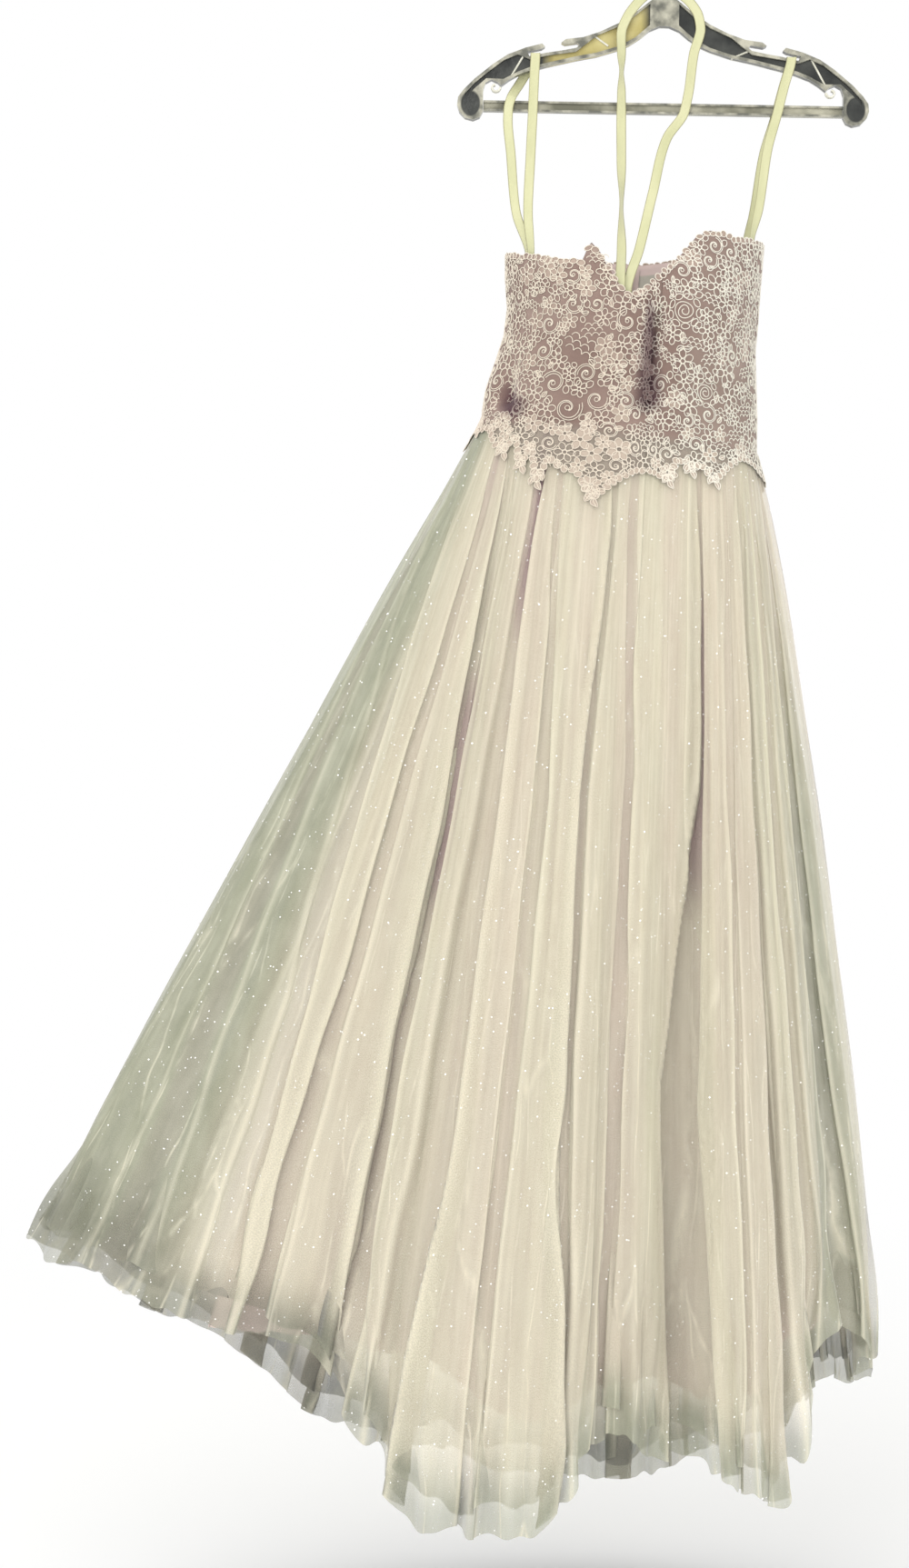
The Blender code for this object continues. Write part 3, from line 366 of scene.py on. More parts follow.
def bodice_form(angles, heights):
    """Points and level outward directions of the bodice's form."""
    share = (heights - waist_height(angles)) / (BODICE_TOP - waist_height(angles))
    rows = np.array(BODICE_SECTIONS)
    left, right, front, back = (np.interp(share, rows[:, 0], rows[:, k]) for k in range(1, 5))
    across = np.cos(np.radians(angles))
    deep = np.sin(np.radians(angles))
    depth = np.where(deep < 0.0, front, back)
    half = (right - left) / 2
    ring = np.stack([(left + right) / 2 + half * across, depth * deep, heights], axis=-1)
    outward = np.stack([across / half, deep / depth, np.zeros_like(across)], axis=-1)
    outward /= np.linalg.norm(outward, axis=-1, keepdims=True)
    above = heights - waist_height(angles)
    pinch = 15.0 * bell(angles, 209.0, 8.0) * bell(above, 24.0, 24.0) * smooth_step((above - 2.0) / 14.0)
    crease = (15.0 * bell(angles, FRONT_SEAM, 4.2) * smooth_step((above - 4.0) / 30.0)
              * smooth_step((140.0 - above) / 40.0))
    cups = 8.0 * bell(above, 128.0, 45.0) * (bell(angles, 243.0, 20.0) + bell(angles, 308.0, 20.0))
    return ring + outward * (cups - pinch - crease)[..., None], outward


def skirt_form(angles, shares, hem_table, waist_inset):
    """Points of a skirt's form at shares of the way from the waist seam to the hem."""
    across = np.cos(np.radians(angles))
    deep = np.sin(np.radians(angles))
    depth = np.where(deep < 0.0, WAIST_FRONT, WAIST_BACK) - waist_inset
    waist_x = WAIST_CENTRE_X + (WAIST_HALF_WIDTH - waist_inset) * across
    waist_y = depth * deep
    waist_z = waist_height(angles)
    swing = shares ** smooth_round(FLARE, 1, angles)
    hem_x, hem_y, hem_z = (smooth_round(hem_table, column, angles) for column in (1, 2, 3))
    return np.stack([
        waist_x + (hem_x - waist_x) * swing,
        waist_y + (hem_y - waist_y) * swing,
        waist_z + (hem_z - waist_z) * shares,
    ], axis=-1)


def level_outward(form):
    """Outward level directions along rows of points, angles rising."""
    along = np.gradient(form, axis=1)
    outward = np.stack([along[..., 1], -along[..., 0], np.zeros_like(along[..., 0])], axis=-1)
    return outward / np.linalg.norm(outward, axis=-1, keepdims=True)


def outward_of(points):
    """Outward directions of a patch, rows from the top down and angles rising."""
    normals = np.cross(np.gradient(points, axis=0), np.gradient(points, axis=1))
    return normals / np.maximum(np.linalg.norm(normals, axis=-1, keepdims=True), 1e-9)


def finish_piece(piece, slot, *nodes):
    """Ride the piece on the gown and hide the CAD nodes it stands for; the slot is not used."""
    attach(piece, "root")
    if nodes:
        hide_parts(*nodes)
    return piece


def link_mesh(name, mesh, *materials):
    """Make an object of a mesh, with its materials."""
    for material in materials:
        mesh.materials.append(material)
    piece = bpy.data.objects.new(name, mesh)
    bpy.context.scene.collection.objects.link(piece)
    return piece


def grid_faces(rows, columns, start=0, flip=False):
    """Faces of a grid of points, rows from the top down."""
    corner = (np.arange(rows - 1)[:, None] * columns + np.arange(columns - 1)[None, :]).ravel() + start
    faces = np.stack([corner, corner + columns, corner + columns + 1, corner + 1], axis=-1)
    return faces[:, ::-1] if flip else faces


def rim_faces(rows, columns, count):
    """Faces that close the edge between an outer and an inner grid."""
    top = list(range(columns))
    right = [row * columns + columns - 1 for row in range(1, rows)]
    bottom = [(rows - 1) * columns + column for column in range(columns - 2, -1, -1)]
    left = [row * columns for row in range(rows - 2, 0, -1)]
    rim = top + right + bottom + left
    return [(start, end, end + count, start + count) for start, end in zip(rim, rim[1:] + rim[:1])]


def set_tone(mesh, tone):
    """Give each point of a mesh the colour that its material reads."""
    store = mesh.color_attributes.new("tone", "FLOAT_COLOR", "POINT")
    store.data.foreach_set("color", tone.reshape(-1).astype(np.float32))


def lay_flat(mesh, places):
    """Map a mesh by the place of each of its points on the flat cloth, in metres."""
    corners = np.zeros(len(mesh.loops), dtype=np.int32)
    mesh.loops.foreach_get("vertex_index", corners)
    layer = mesh.uv_layers.new(name="flat")
    layer.data.foreach_set("uv", places[corners].ravel().astype(np.float32))


def shell(name, points, tone, flat_map, *materials):
    """Make a thin sheet of cloth from a grid of points in millimetres, its tone and its flat map."""
    mesh = bpy.data.meshes.new(name)
    mesh.from_pydata(points.reshape(-1, 3) * MM, [], grid_faces(*points.shape[:2]).tolist())
    mesh.shade_smooth()
    set_tone(mesh, tone)
    lay_flat(mesh, flat_map.reshape(-1, 2))
    return link_mesh(name, mesh, *materials)


def lined_sheet(name, outer, inner, *materials):
    """Make a closed sheet of an outer and an inner grid of points in millimetres."""
    shape = outer.shape[:2]
    count = shape[0] * shape[1]
    faces = np.concatenate([grid_faces(*shape), grid_faces(*shape, start=count, flip=True)])
    rim = rim_faces(*shape, count)
    mesh = bpy.data.meshes.new(name)
    vertices = np.concatenate([outer.reshape(-1, 3), inner.reshape(-1, 3)])
    mesh.from_pydata(vertices * MM, [], faces.tolist() + rim)
    mesh.shade_smooth()
    piece = link_mesh(name, mesh, *materials)
    if len(materials) > 1:
        half = len(faces) // 2
        mesh.polygons.foreach_set("material_index", [0] * half + [1] * half + [0] * len(rim))
    return piece


# Folds of the skirt

def back_recesses():
    """Deep folds of the back, by rule, in the way of the front ones."""
    rows = []
    step = 180.0 / BACK_RECESS_COUNT
    for place in range(BACK_RECESS_COUNT):
        centre = step * (place + 0.5)
        lip_highlight_and_cover = []
        for level in range(len(RECESS_LEVELS)):
            middle = centre + 1.5 * math.sin(place * 1.7 + level * 0.9) + 0.5 * math.sin(place * 4.1 + level)
            half = 1.6 + 0.7 * math.sin(place * 2.3 + level * 0.5)
            lip_highlight_and_cover.append((middle - half, middle + half))
        left, right = zip(*lip_highlight_and_cover)
        depth = 18.0 + 7.0 * math.sin(place * 2.9 + 1.0)
        start = 0.35 * (place % 3)
        rows.append((left, right, depth, 1.4 + math.sin(place * 1.3), 1.3 + math.cos(place * 2.1),
                     start, start + 0.16))
    return rows


def minor_folds(seed, count, first, last):
    """Small folds: angle, drift, phase, first and last share, depth, overhang, side and width."""
    pick = random.Random(seed)
    rows = []
    for place in range(count):
        angle = first + (last - first) * (place + pick.uniform(0.1, 0.9)) / count
        start = pick.choice((-0.2, -0.2, pick.uniform(0.0, 0.5)))
        end = min(1.3, start + pick.uniform(0.35, 1.3))
        rows.append((angle, pick.uniform(-4.0, 4.0), pick.uniform(0.0, 6.3), start, end,
                     pick.uniform(1.2, 4.2), pick.uniform(0.2, 1.6), pick.choice((-1.0, 1.0)),
                     pick.uniform(0.7, 2.6)))
    return rows


def step_up(place):
    """Rise from 0 to 1 across a lip, evenly round it."""
    return 1.0 / (1.0 + np.exp(-2.6 * place))


def wall_wave(place):
    """Push a lip over its recess and the foot of its wall back under the lip."""
    return -2.33 * place * np.exp(-place * place)


def folded(angles, shares, recesses, small, strength):
    """Depth in mm, turn in degrees, share of painted shade in the recesses and share of painted highlight on
    the lips of a folded skirt.
    """
    rise = np.interp(shares, [row[0] for row in FOLD_RISE], [row[1] for row in FOLD_RISE])
    depth = np.zeros_like(angles)
    turn = np.zeros_like(angles)
    hollow_shade = np.zeros_like(angles)
    lip_highlight_and_cover = np.zeros_like(angles)
    for order, (left, right, deep, left_over, right_over, dark_from, dark_to) in enumerate(recesses):
        wander = 0.28 * np.sin(shares * 17.0 + order * 2.1) + 0.16 * np.sin(shares * 41.0 + order)
        lip_left = np.interp(shares, RECESS_LEVELS, left) + wander
        lip_right = np.interp(shares, RECESS_LEVELS, right) + wander * 0.6
        from_left = (angles - lip_left) / LIP_WIDTH
        from_right = (angles - lip_right) / LIP_WIDTH
        inside = np.clip(step_up(from_left) - step_up(from_right), 0.0, 1.0)
        depth += strength * deep * rise * inside
        narrow = np.clip(4.5 / np.maximum(lip_right - lip_left, 1.0), 0.15, 1.0)
        seen = smooth_step((shares - dark_from) / 0.08 + 0.5) * smooth_step((dark_to - shares) / 0.08 + 0.5)
        # Share of painted shade in the recess.
        hollow_shade = np.maximum(hollow_shade, inside * narrow * (0.38 + 0.62 * seen * min(1.0, deep / 18.0)))
        reach = 0.75 - 0.45 * shares
        edges = np.maximum(bell(from_left, -0.9, reach), bell(from_right, 0.9, reach))
        # Share of painted highlight on the lips, which also adds cover to the tulle.
        lip_highlight_and_cover = np.maximum(lip_highlight_and_cover, rise * edges)
        lift = LIP_WIDTH * smooth_step(shares / 0.12)
        turn += lift * left_over * wall_wave(from_left) + lift * right_over * wall_wave(from_right)
    for angle, drift, phase, start, end, deep, over, side, wide in small:
        line = (angle + drift * shares + 0.5 * np.sin(shares * 9.0 + phase)
                + 0.2 * np.sin(shares * 31.0 + phase))
        present = smooth_step((shares - start) / 0.15) * smooth_step((end - shares) / 0.15)
        present = present * smooth_step(shares / 0.05)
        away = (angles - line) * side
        place = away / wide
        beyond = step_up(place) * np.exp(-np.maximum(away, 0.0) / 5.0)
        depth += strength * deep * present * beyond * (0.3 + 0.7 * rise)
        turn += 0.6 * over * present * wall_wave(place) * side
        crest = bell(away, -0.5, 0.8 - 0.5 * shares) * np.clip(1.1 - 0.5 * wide, 0.0, 0.8)
        lip_highlight_and_cover = np.maximum(lip_highlight_and_cover, present * crest)
    calm = bell(np.mod(angles, 360.0), 193.0, 11.0)
    return depth * (1.0 - 0.65 * calm), turn * (1.0 - 0.65 * calm), hollow_shade, lip_highlight_and_cover * (1.0 - 0.4 * calm)


def crumple(angles, shares, seed):
    """Uneven waves of the cloth, stronger near the hem, in mm."""
    pick = random.Random(seed)
    waves = np.zeros_like(angles)
    for _ in range(9):
        rate = pick.uniform(0.35, 1.1)
        slant = pick.uniform(-26.0, 26.0)
        waves += np.sin(angles * rate + shares * slant + pick.uniform(0.0, 6.3))
    return waves / 3.0


def sheer_share(angles, shares):
    """Share of cloth with nothing behind it: past the lining at both sides and at the hem."""
    left = smooth_step((208.0 - angles) / 10.0) * smooth_step((angles - 150.0) / 12.0)
    hem = smooth_step((shares - 0.93) / 0.06)
    right = bell(np.mod(angles + 14.0, 360.0), 5.0, 9.0) * smooth_step(shares * 2.0)
    return np.maximum(np.maximum(left, hem), right)


def blush_share(angles, shares, seed):
    """Uneven share of the warmer colour."""
    pick = random.Random(seed)
    blush = np.zeros_like(angles)
    for _ in range(6):
        blush += np.sin(angles * pick.uniform(0.10, 0.42) + shares * pick.uniform(-5.0, 5.0)
                        + pick.uniform(0.0, 6.3))
    return np.clip(0.5 + 0.22 * blush, 0.0, 1.0)


def skirt_layer(first, last, columns, rows, hem_table, settings):
    """Grid of one skirt layer: points in mm, tone and place on the flat cloth.

    The tone is the share of painted shade in a recess, of sheer cloth, of blush and of painted highlight on a
    lip.
    """
    shares = 1.0 - (1.0 - np.linspace(0.0, 1.0, rows)) ** 1.15
    grid_angles, grid_shares = np.meshgrid(np.linspace(first, last, columns), shares)
    depth, turn, hollow_shade, lip_highlight_and_cover = folded(grid_angles, grid_shares, settings["recesses"],
                                       settings["small"], settings["strength"])
    edge = smooth_step((grid_angles - first) / 2.0) * smooth_step((last - grid_angles) / 2.0)
    turned = grid_angles + turn * edge
    form = skirt_form(turned, grid_shares, hem_table, settings["waist_inset"])
    plain = skirt_form(grid_angles, grid_shares, hem_table, settings["waist_inset"])
    outward = level_outward(plain)
    hem = smooth_step((grid_shares - 0.80) / 0.20)
    rough = crumple(grid_angles, grid_shares, settings["seed"])
    rough_down = crumple(grid_angles * 0.45, grid_shares * 1.2, settings["seed"] + 1)
    ripple = settings["ripple"] * (0.35 * smooth_step(grid_shares / 0.1) + hem * settings["hem_ripple"])
    inward = settings["stand_off"] * smooth_step(grid_shares / 0.1) + depth * edge + ripple * (1.0 + rough)
    points = form - outward * inward[..., None]
    frill = crumple(grid_angles * 1.7, grid_shares * 1.5, settings["seed"] + 3)
    points[..., 2] += hem * (settings["hem_lift"] * rough_down + 1.6 * frill)
    points[..., 2] += settings["lift"] * grid_shares ** 3
    tone = np.stack([hollow_shade, sheer_share(grid_angles, grid_shares),
                     blush_share(grid_angles, grid_shares, settings["seed"] + 7),
                     np.clip(lip_highlight_and_cover, 0.0, 1.0)], axis=-1)
    flat_map = np.stack([grid_angles / 180.0 * settings["flat_width"], -grid_shares * 1.12], axis=-1)
    return points, tone, flat_map


# Materials

def new_material(name, colour, roughness, inputs=None):
    """Return a Principled material with its node tree and shader, other inputs given by name."""
    material = bpy.data.materials.new(name)
    material.use_nodes = True
    tree = material.node_tree
    shader = tree.nodes["Principled BSDF"]
    shader.inputs["Base Color"].default_value = (*colour, 1.0)
    shader.inputs["Roughness"].default_value = roughness
    for key, value in (inputs or {}).items():
        shader.inputs[key].default_value = value
    return material, tree, shader


def add_node(tree, kind, **values):
    """Add a node and set its sockets and fields by name."""
    node = tree.nodes.new(kind)
    for key, value in values.items():
        if key in node.inputs:
            node.inputs[key].default_value = value
        else:
            setattr(node, key, value)
    return node


def feed(tree, socket, value):
    """Feed a socket from an output, a colour or a number."""
    if isinstance(value, bpy.types.NodeSocket):
        tree.links.new(value, socket)
    elif isinstance(value, tuple):
        socket.default_value = (*value, 1.0)
    else:
        socket.default_value = value


def mix_colours(tree, share, first, second):
    """Mix two colours, each a colour or an output socket."""
    mixer = add_node(tree, "ShaderNodeMix", data_type="RGBA")
    feed(tree, mixer.inputs[0], share)
    feed(tree, mixer.inputs[6], first)
    feed(tree, mixer.inputs[7], second)
    return mixer.outputs[2]


def remap(tree, value, low, high, to_low, to_high):
    """Map a value from one range to another."""
    node = add_node(tree, "ShaderNodeMapRange")
    tree.links.new(value, node.inputs["Value"])
    for key, number in (("From Min", low), ("From Max", high), ("To Min", to_low), ("To Max", to_high)):
        node.inputs[key].default_value = number
    return node.outputs["Result"]


def combined(tree, operation, *values, clamp=False):
    """Combine sockets and numbers one after another by an operation of the Math node."""
    total = values[0]
    for value in values[1:]:
        node = add_node(tree, "ShaderNodeMath", operation=operation, use_clamp=clamp)
        feed(tree, node.inputs[0], total)
        feed(tree, node.inputs[1], value)
        total = node.outputs[0]
    return total


def without_sign(tree, value):
    """The size of a value, without its sign."""
    node = add_node(tree, "ShaderNodeMath", operation="ABSOLUTE")
    tree.links.new(value, node.inputs[0])
    return node.outputs[0]


def length_of(tree, vector):
    """The length of a vector."""
    node = add_node(tree, "ShaderNodeVectorMath", operation="LENGTH")
    tree.links.new(vector, node.inputs[0])
    return node.outputs["Value"]


def shifted(tree, place, noise, amounts):
    """A place that a noise moves, by an amount along each axis."""
    node = add_node(tree, "ShaderNodeVectorMath", operation="MULTIPLY_ADD")
    node.inputs[1].default_value = amounts
    tree.links.new(noise, node.inputs[0])
    tree.links.new(place, node.inputs[2])
    return node.outputs[0]


def object_place(tree):
    """The piece's own coordinates, in metres."""
    return add_node(tree, "ShaderNodeTexCoord").outputs["Object"]


def flat_place(tree):
    """The place on the flat cloth, in metres."""
    return add_node(tree, "ShaderNodeUVMap", uv_map="flat").outputs[0]


def stretched(tree, place, across, along):
    """A place scaled across and along."""
    mapping = add_node(tree, "ShaderNodeMapping")
    mapping.inputs["Scale"].default_value = (across, along, 1.0)
    tree.links.new(place, mapping.inputs[0])
    return mapping.outputs[0]


def axes_of(tree, place):
    """The x, y and z of a place."""
    split = add_node(tree, "ShaderNodeSeparateXYZ")
    tree.links.new(place, split.inputs[0])
    return split.outputs


def oval_distance(tree, place, centre, reach):
    """Distance from the centre of an oval, which is 1 at its edge."""
    mapping = add_node(tree, "ShaderNodeMapping", vector_type="TEXTURE")
    mapping.inputs["Location"].default_value = centre
    mapping.inputs["Scale"].default_value = reach
    tree.links.new(place, mapping.inputs[0])
    return length_of(tree, mapping.outputs[0])


def texture_at(tree, place, kind, **values):
    """A texture node at a place."""
    texture = add_node(tree, kind, **values)
    tree.links.new(place, texture.inputs["Vector"])
    return texture


def object_noise(tree, scale, detail):
    """A noise on the piece's own coordinates."""
    texture = texture_at(tree, object_place(tree), "ShaderNodeTexNoise", Scale=scale, Detail=detail,
                         Roughness=0.5)
    return texture.outputs["Fac"]


def flat_noise(tree, across, along, detail, roughness=0.5):
    """A noise on the flat cloth, stretched by a scale across and along."""
    place = stretched(tree, flat_place(tree), across, along)
    texture = texture_at(tree, place, "ShaderNodeTexNoise", Scale=1.0, Detail=detail, Roughness=roughness)
    return texture.outputs["Fac"]


def patches(tree, scale, detail, low, high, most=1.0):
    """Share of uneven patches on a piece, from none at the low noise to the most at the high one."""
    return remap(tree, object_noise(tree, scale, detail), low, high, 0.0, most)


def vary_gloss(tree, shader, scale, detail, low, high):
    """Give a shader a roughness that wanders between two values."""
    wander = remap(tree, object_noise(tree, scale, detail), 0.3, 0.7, low, high)
    tree.links.new(wander, shader.inputs["Roughness"])


def bump(tree, shader, height, strength, distance):
    """Give a shader a bump from a height."""
    node = add_node(tree, "ShaderNodeBump", Strength=strength, Distance=distance)
    tree.links.new(height, node.inputs["Height"])
    tree.links.new(node.outputs["Normal"], shader.inputs["Normal"])


def tone_parts(tree):
    """The red, green, blue and alpha of the cloth's tone."""
    tone = add_node(tree, "ShaderNodeAttribute", attribute_name="tone")
    split = add_node(tree, "ShaderNodeSeparateColor")
    tree.links.new(tone.outputs["Color"], split.inputs[0])
    return (*split.outputs, tone.outputs["Alpha"])


def wrinkle_highlights(tree, along, cloud):
    """Share of fine wrinkle lines, for painted highlights and more cover, in patches and stronger towards the
    hem.
    """
    bend = flat_noise(tree, 6.0, 5.0, 2.0, 0.6)
    bent = shifted(tree, stretched(tree, flat_place(tree), 13.0, 2.2), bend, (0.9, 0.5, 0.0))
    cells = texture_at(tree, bent, "ShaderNodeTexVoronoi", Scale=1.0, Randomness=1.0,
                       feature="DISTANCE_TO_EDGE")
    line = remap(tree, cells.outputs["Distance"], 0.0, 0.035, 1.0, 0.0)
    patchy = remap(tree, cloud, 0.42, 0.60, 0.0, 1.0)
    low = remap(tree, along, -0.30, -1.0, 0.25, 1.0)
    return combined(tree, "MULTIPLY", line, patchy, low)


def tulle_material(name, colour, blush_colour, sheer_shade_colour, hollow_shade_colour, cover):
    """Sheer net: painted shade in the fold recesses and where nothing lies behind it, painted light lower
    down, painted highlights on the lips of the folds and on soft wrinkles, and cover broken by its mesh.
    """
    material, tree, shader = new_material(name, colour, 0.62, {
        "Sheen Weight": 0.3, "Sheen Roughness": 0.5, "Specular IOR Level": 0.2,
    })
    hollow_shade, sheer, blush, lip_highlight_and_cover = tone_parts(tree)
    x, _, _ = axes_of(tree, object_place(tree))
    _, along, _ = axes_of(tree, flat_place(tree))
    streaks = flat_noise(tree, 42.0, 2.6, 3.0)
    cloud = flat_noise(tree, 16.0, 12.0, 3.0, 0.6)
    net = flat_noise(tree, 900.0, 900.0, 0.0)
    lip_highlight_and_cover = combined(tree, "MAXIMUM", lip_highlight_and_cover, wrinkle_highlights(tree, along, cloud))
    warm = mix_colours(tree, blush, colour, blush_colour)
    sunlit = mix_colours(tree, remap(tree, along, -0.45, -0.95, 0.0, 0.55), warm, (0.93, 0.85, 0.66))
    shade = combined(tree, "MULTIPLY", remap(tree, x, -0.32, -0.20, 1.0, 0.15),
                     remap(tree, along, -0.98, -1.10, 0.0, 1.0))
    # Where nothing lies behind the net it takes the sheer colour, partly its own colour and partly painted
    # shade of the skirt's inside, darker still near the hem at the left.
    shaded = mix_colours(tree, shade, sheer_shade_colour, tuple(0.50 * value for value in sheer_shade_colour))
    thin = mix_colours(tree, sheer, sunlit, shaded)
    mottled = mix_colours(tree, remap(tree, cloud, 0.35, 0.68, 0.0, 0.30), thin, (0.70, 0.68, 0.55))
    # Painted shade in the recesses of the folds.
    shaded_folds = mix_colours(tree, remap(tree, hollow_shade, 0.25, 1.0, 0.0, 0.72), mottled, hollow_shade_colour)
    # Painted highlight on the lips of the folds and on the wrinkles.
    pale = mix_colours(tree, remap(tree, lip_highlight_and_cover, 0.0, 1.0, 0.0, 0.55), shaded_folds, (0.89, 0.83, 0.65))
    tree.links.new(pale, shader.inputs["Base Color"])
    covered = combined(
        tree, "ADD",
        remap(tree, streaks, 0.32, 0.70, cover - 0.06, cover + 0.08),
        remap(tree, cloud, 0.30, 0.70, -0.05, 0.05),
        remap(tree, net, 0.30, 0.70, -0.08, 0.08),
        remap(tree, lip_highlight_and_cover, 0.0, 1.0, 0.0, 0.22),
        remap(tree, sheer, 0.0, 1.0, 0.0, 0.20),
        clamp=True,
    )
    tree.links.new(covered, shader.inputs["Alpha"])
    return material


def satin_material(name, colour, hollow_shade_colour):
    """Soft lining satin, with painted shade in its folds."""
    material, tree, shader = new_material(name, colour, 0.42, {"Sheen Weight": 0.2})
    # Painted shade in the folds.
    shaded_folds = mix_colours(tree, tone_parts(tree)[0], colour, hollow_shade_colour)
    cloud = remap(tree, flat_noise(tree, 9.0, 3.0, 3.0), 0.35, 0.7, 0.0, 0.25)
    tree.links.new(mix_colours(tree, cloud, shaded_folds, hollow_shade_colour), shader.inputs["Base Color"])
    bump(tree, shader, flat_noise(tree, 1500.0, 1500.0, 1.0), 0.15, 0.0004)
    return material


def crease_shadow_share(tree):
    """Share of shadow in the centre crease, a soft wedge, and in the pinch at the side."""
    drift = texture_at(tree, object_place(tree), "ShaderNodeTexNoise", Scale=60.0, Detail=2.0)
    place = shifted(tree, object_place(tree), drift.outputs["Color"], (0.006, 0.0, 0.006))
    x, y, z = axes_of(tree, place)
    front = remap(tree, y, 0.0, -0.01, 0.0, 1.0)
    away = without_sign(tree, combined(tree, "SUBTRACT", x, CREASE_X))
    reach = remap(tree, z, *CREASE_HEIGHTS, *CREASE_REACH)
    ratio = combined(tree, "DIVIDE", away, reach)
    crease = combined(tree, "MULTIPLY", remap(tree, ratio, 0.35, 1.2, 1.0, 0.0), front,
                      remap(tree, z, *CREASE_TOP, 0.0, 1.0), remap(tree, z, *CREASE_FOOT, 0.0, 1.0))
    oval = oval_distance(tree, place, PINCH_PLACE, PINCH_REACH)
    pinch = combined(tree, "MULTIPLY", remap(tree, oval, 0.55, 1.25, 1.0, 0.0), front)
    return combined(tree, "MAXIMUM", crease, pinch)


def ground_material(name, colour):
    """Dusky net under the lace, with painted shade in its side pinch and painted shadow in its creases, paler
    and sheer over the skirt.
    """
    material, tree, shader = new_material(name, colour, 0.8, {"Sheen Weight": 0.15})
    pinch_shade, _, pale_share, cover = tone_parts(tree)
    base = mix_colours(tree, patches(tree, 16.0, 3.0, 0.38, 0.66), colour, (0.34, 0.24, 0.20))
    # Paler over the skirt and at the right front.
    pale = mix_colours(tree, pale_share, base, (0.40, 0.32, 0.26))
    # Painted shade in the side pinch.
    dusky = mix_colours(tree, pinch_shade, pale, (0.09, 0.025, 0.045))
    # Painted shadow in the centre crease and the side pinch.
    dark = mix_colours(tree, crease_shadow_share(tree), dusky, (0.075, 0.028, 0.034))
    tree.links.new(dark, shader.inputs["Base Color"])
    tree.links.new(cover, shader.inputs["Alpha"])
    net = texture_at(tree, object_place(tree), "ShaderNodeTexVoronoi", Scale=520.0,
                     feature="DISTANCE_TO_EDGE")
    bump(tree, shader, remap(tree, net.outputs["Distance"], 0.0, 0.2, 1.0, 0.0), 0.6, 0.0006)
    return material


def facing_material(name):
    """Inside of the bodice: a dusty pink facing band over a grey-cream lining."""
    material, tree, shader = new_material(name, (0.66, 0.44, 0.44), 0.5, {"Sheen Weight": 0.2})
    _, depth, pale_share, cover = tone_parts(tree)
    below = remap(tree, depth, 0.105, 0.125, 0.0, 1.0)
    band = mix_colours(tree, patches(tree, 60.0, 3.0, 0.3, 0.7, 0.4), (0.60, 0.46, 0.43), (0.70, 0.56, 0.51))
    cloth = mix_colours(tree, patches(tree, 40.0, 3.0, 0.3, 0.7, 0.5), (0.44, 0.41, 0.34), (0.52, 0.47, 0.40))
    inside = mix_colours(tree, below, band, cloth)
    # Paler over the skirt and at the right front.
    tree.links.new(mix_colours(tree, pale_share, inside, (0.66, 0.58, 0.48)), shader.inputs["Base Color"])
    tree.links.new(cover, shader.inputs["Alpha"])
    bump(tree, shader, object_noise(tree, 900.0, 1.0), 0.2, 0.0004)
    return material


def cord_material(name, colour):
    """Satin lace cord, its twist and its uneven colour, paler towards the right, with painted shadow in the
    crease and the side pinch.
    """
    material, tree, shader = new_material(name, colour, 0.45, {"Sheen Weight": 0.3})
    x, _, _ = axes_of(tree, object_place(tree))
    soft = mix_colours(tree, patches(tree, 9.0, 2.0, 0.35, 0.65), colour, (0.84, 0.75, 0.61))
    bright = mix_colours(tree, remap(tree, x, -0.06, 0.03, 0.0, 1.0), soft, (0.93, 0.88, 0.76))
    # Painted shadow in the centre crease and the side pinch.
    dim = remap(tree, crease_shadow_share(tree), 0.0, 1.0, 0.0, 0.85)
    tree.links.new(mix_colours(tree, dim, bright, (0.20, 0.115, 0.115)), shader.inputs["Base Color"])
    bump(tree, shader, object_noise(tree, 1600.0, 1.0), 0.4, 0.0003)
    return material


def fill_material(name, colour):
    """Satin stitch that fills petals and leaves, paler lower down, with painted shadow in the crease and the
    side pinch.
    """
    material, tree, shader = new_material(name, colour, 0.5, {"Sheen Weight": 0.2})
    _, _, z = axes_of(tree, object_place(tree))
    dusky = mix_colours(tree, patches(tree, 14.0, 3.0, 0.35, 0.65), (0.30, 0.21, 0.17), (0.44, 0.335, 0.265))
    paler = mix_colours(tree, remap(tree, z, -0.46, -0.53, 0.0, 1.0), dusky, (0.50, 0.405, 0.32))
    # Painted shadow in the centre crease and the side pinch.
    dim = remap(tree, crease_shadow_share(tree), 0.0, 1.0, 0.0, 0.9)
    tree.links.new(mix_colours(tree, dim, paler, (0.12, 0.06, 0.06)), shader.inputs["Base Color"])
    bump(tree, shader, object_noise(tree, 1100.0, 2.0), 0.7, 0.0006)
    return material


def ribbon_material(name, colour):
    """Satin ribbon: fine cross ribs, woven edges and a soft gloss along it."""
    material, tree, shader = new_material(name, colour, 0.38, {"Sheen Weight": 0.25, "Anisotropic": 0.5})
    across, _, _ = axes_of(tree, flat_place(tree))
    edge = remap(tree, without_sign(tree, across), 0.0040, 0.0045, 0.0, 1.0)
    drift = remap(tree, flat_noise(tree, 60.0, 14.0, 3.0), 0.35, 0.68, 0.0, 0.6)
    body = mix_colours(tree, drift, colour, (0.70, 0.68, 0.42))
    tree.links.new(mix_colours(tree, edge, body, (0.40, 0.38, 0.20)), shader.inputs["Base Color"])
    weave = texture_at(tree, flat_place(tree), "ShaderNodeTexWave", Scale=260.0, Distortion=0.4,
                       bands_direction="Y")
    bump(tree, shader, weave.outputs["Fac"], 0.25, 0.0003)
    return material


def tape_material(name):
    """Woven zip tape: herringbone ribs along it."""
    material, tree, shader = new_material(name, (0.60, 0.47, 0.43), 0.7)
    drift = flat_noise(tree, 300.0, 60.0, 3.0)
    cloth = mix_colours(tree, drift, (0.52, 0.40, 0.37), (0.68, 0.55, 0.50))
    tree.links.new(cloth, shader.inputs["Base Color"])
    weave = texture_at(tree, flat_place(tree), "ShaderNodeTexWave", Scale=330.0, Distortion=0.6)
    bump(tree, shader, weave.outputs["Fac"], 0.4, 0.0004)
    return material


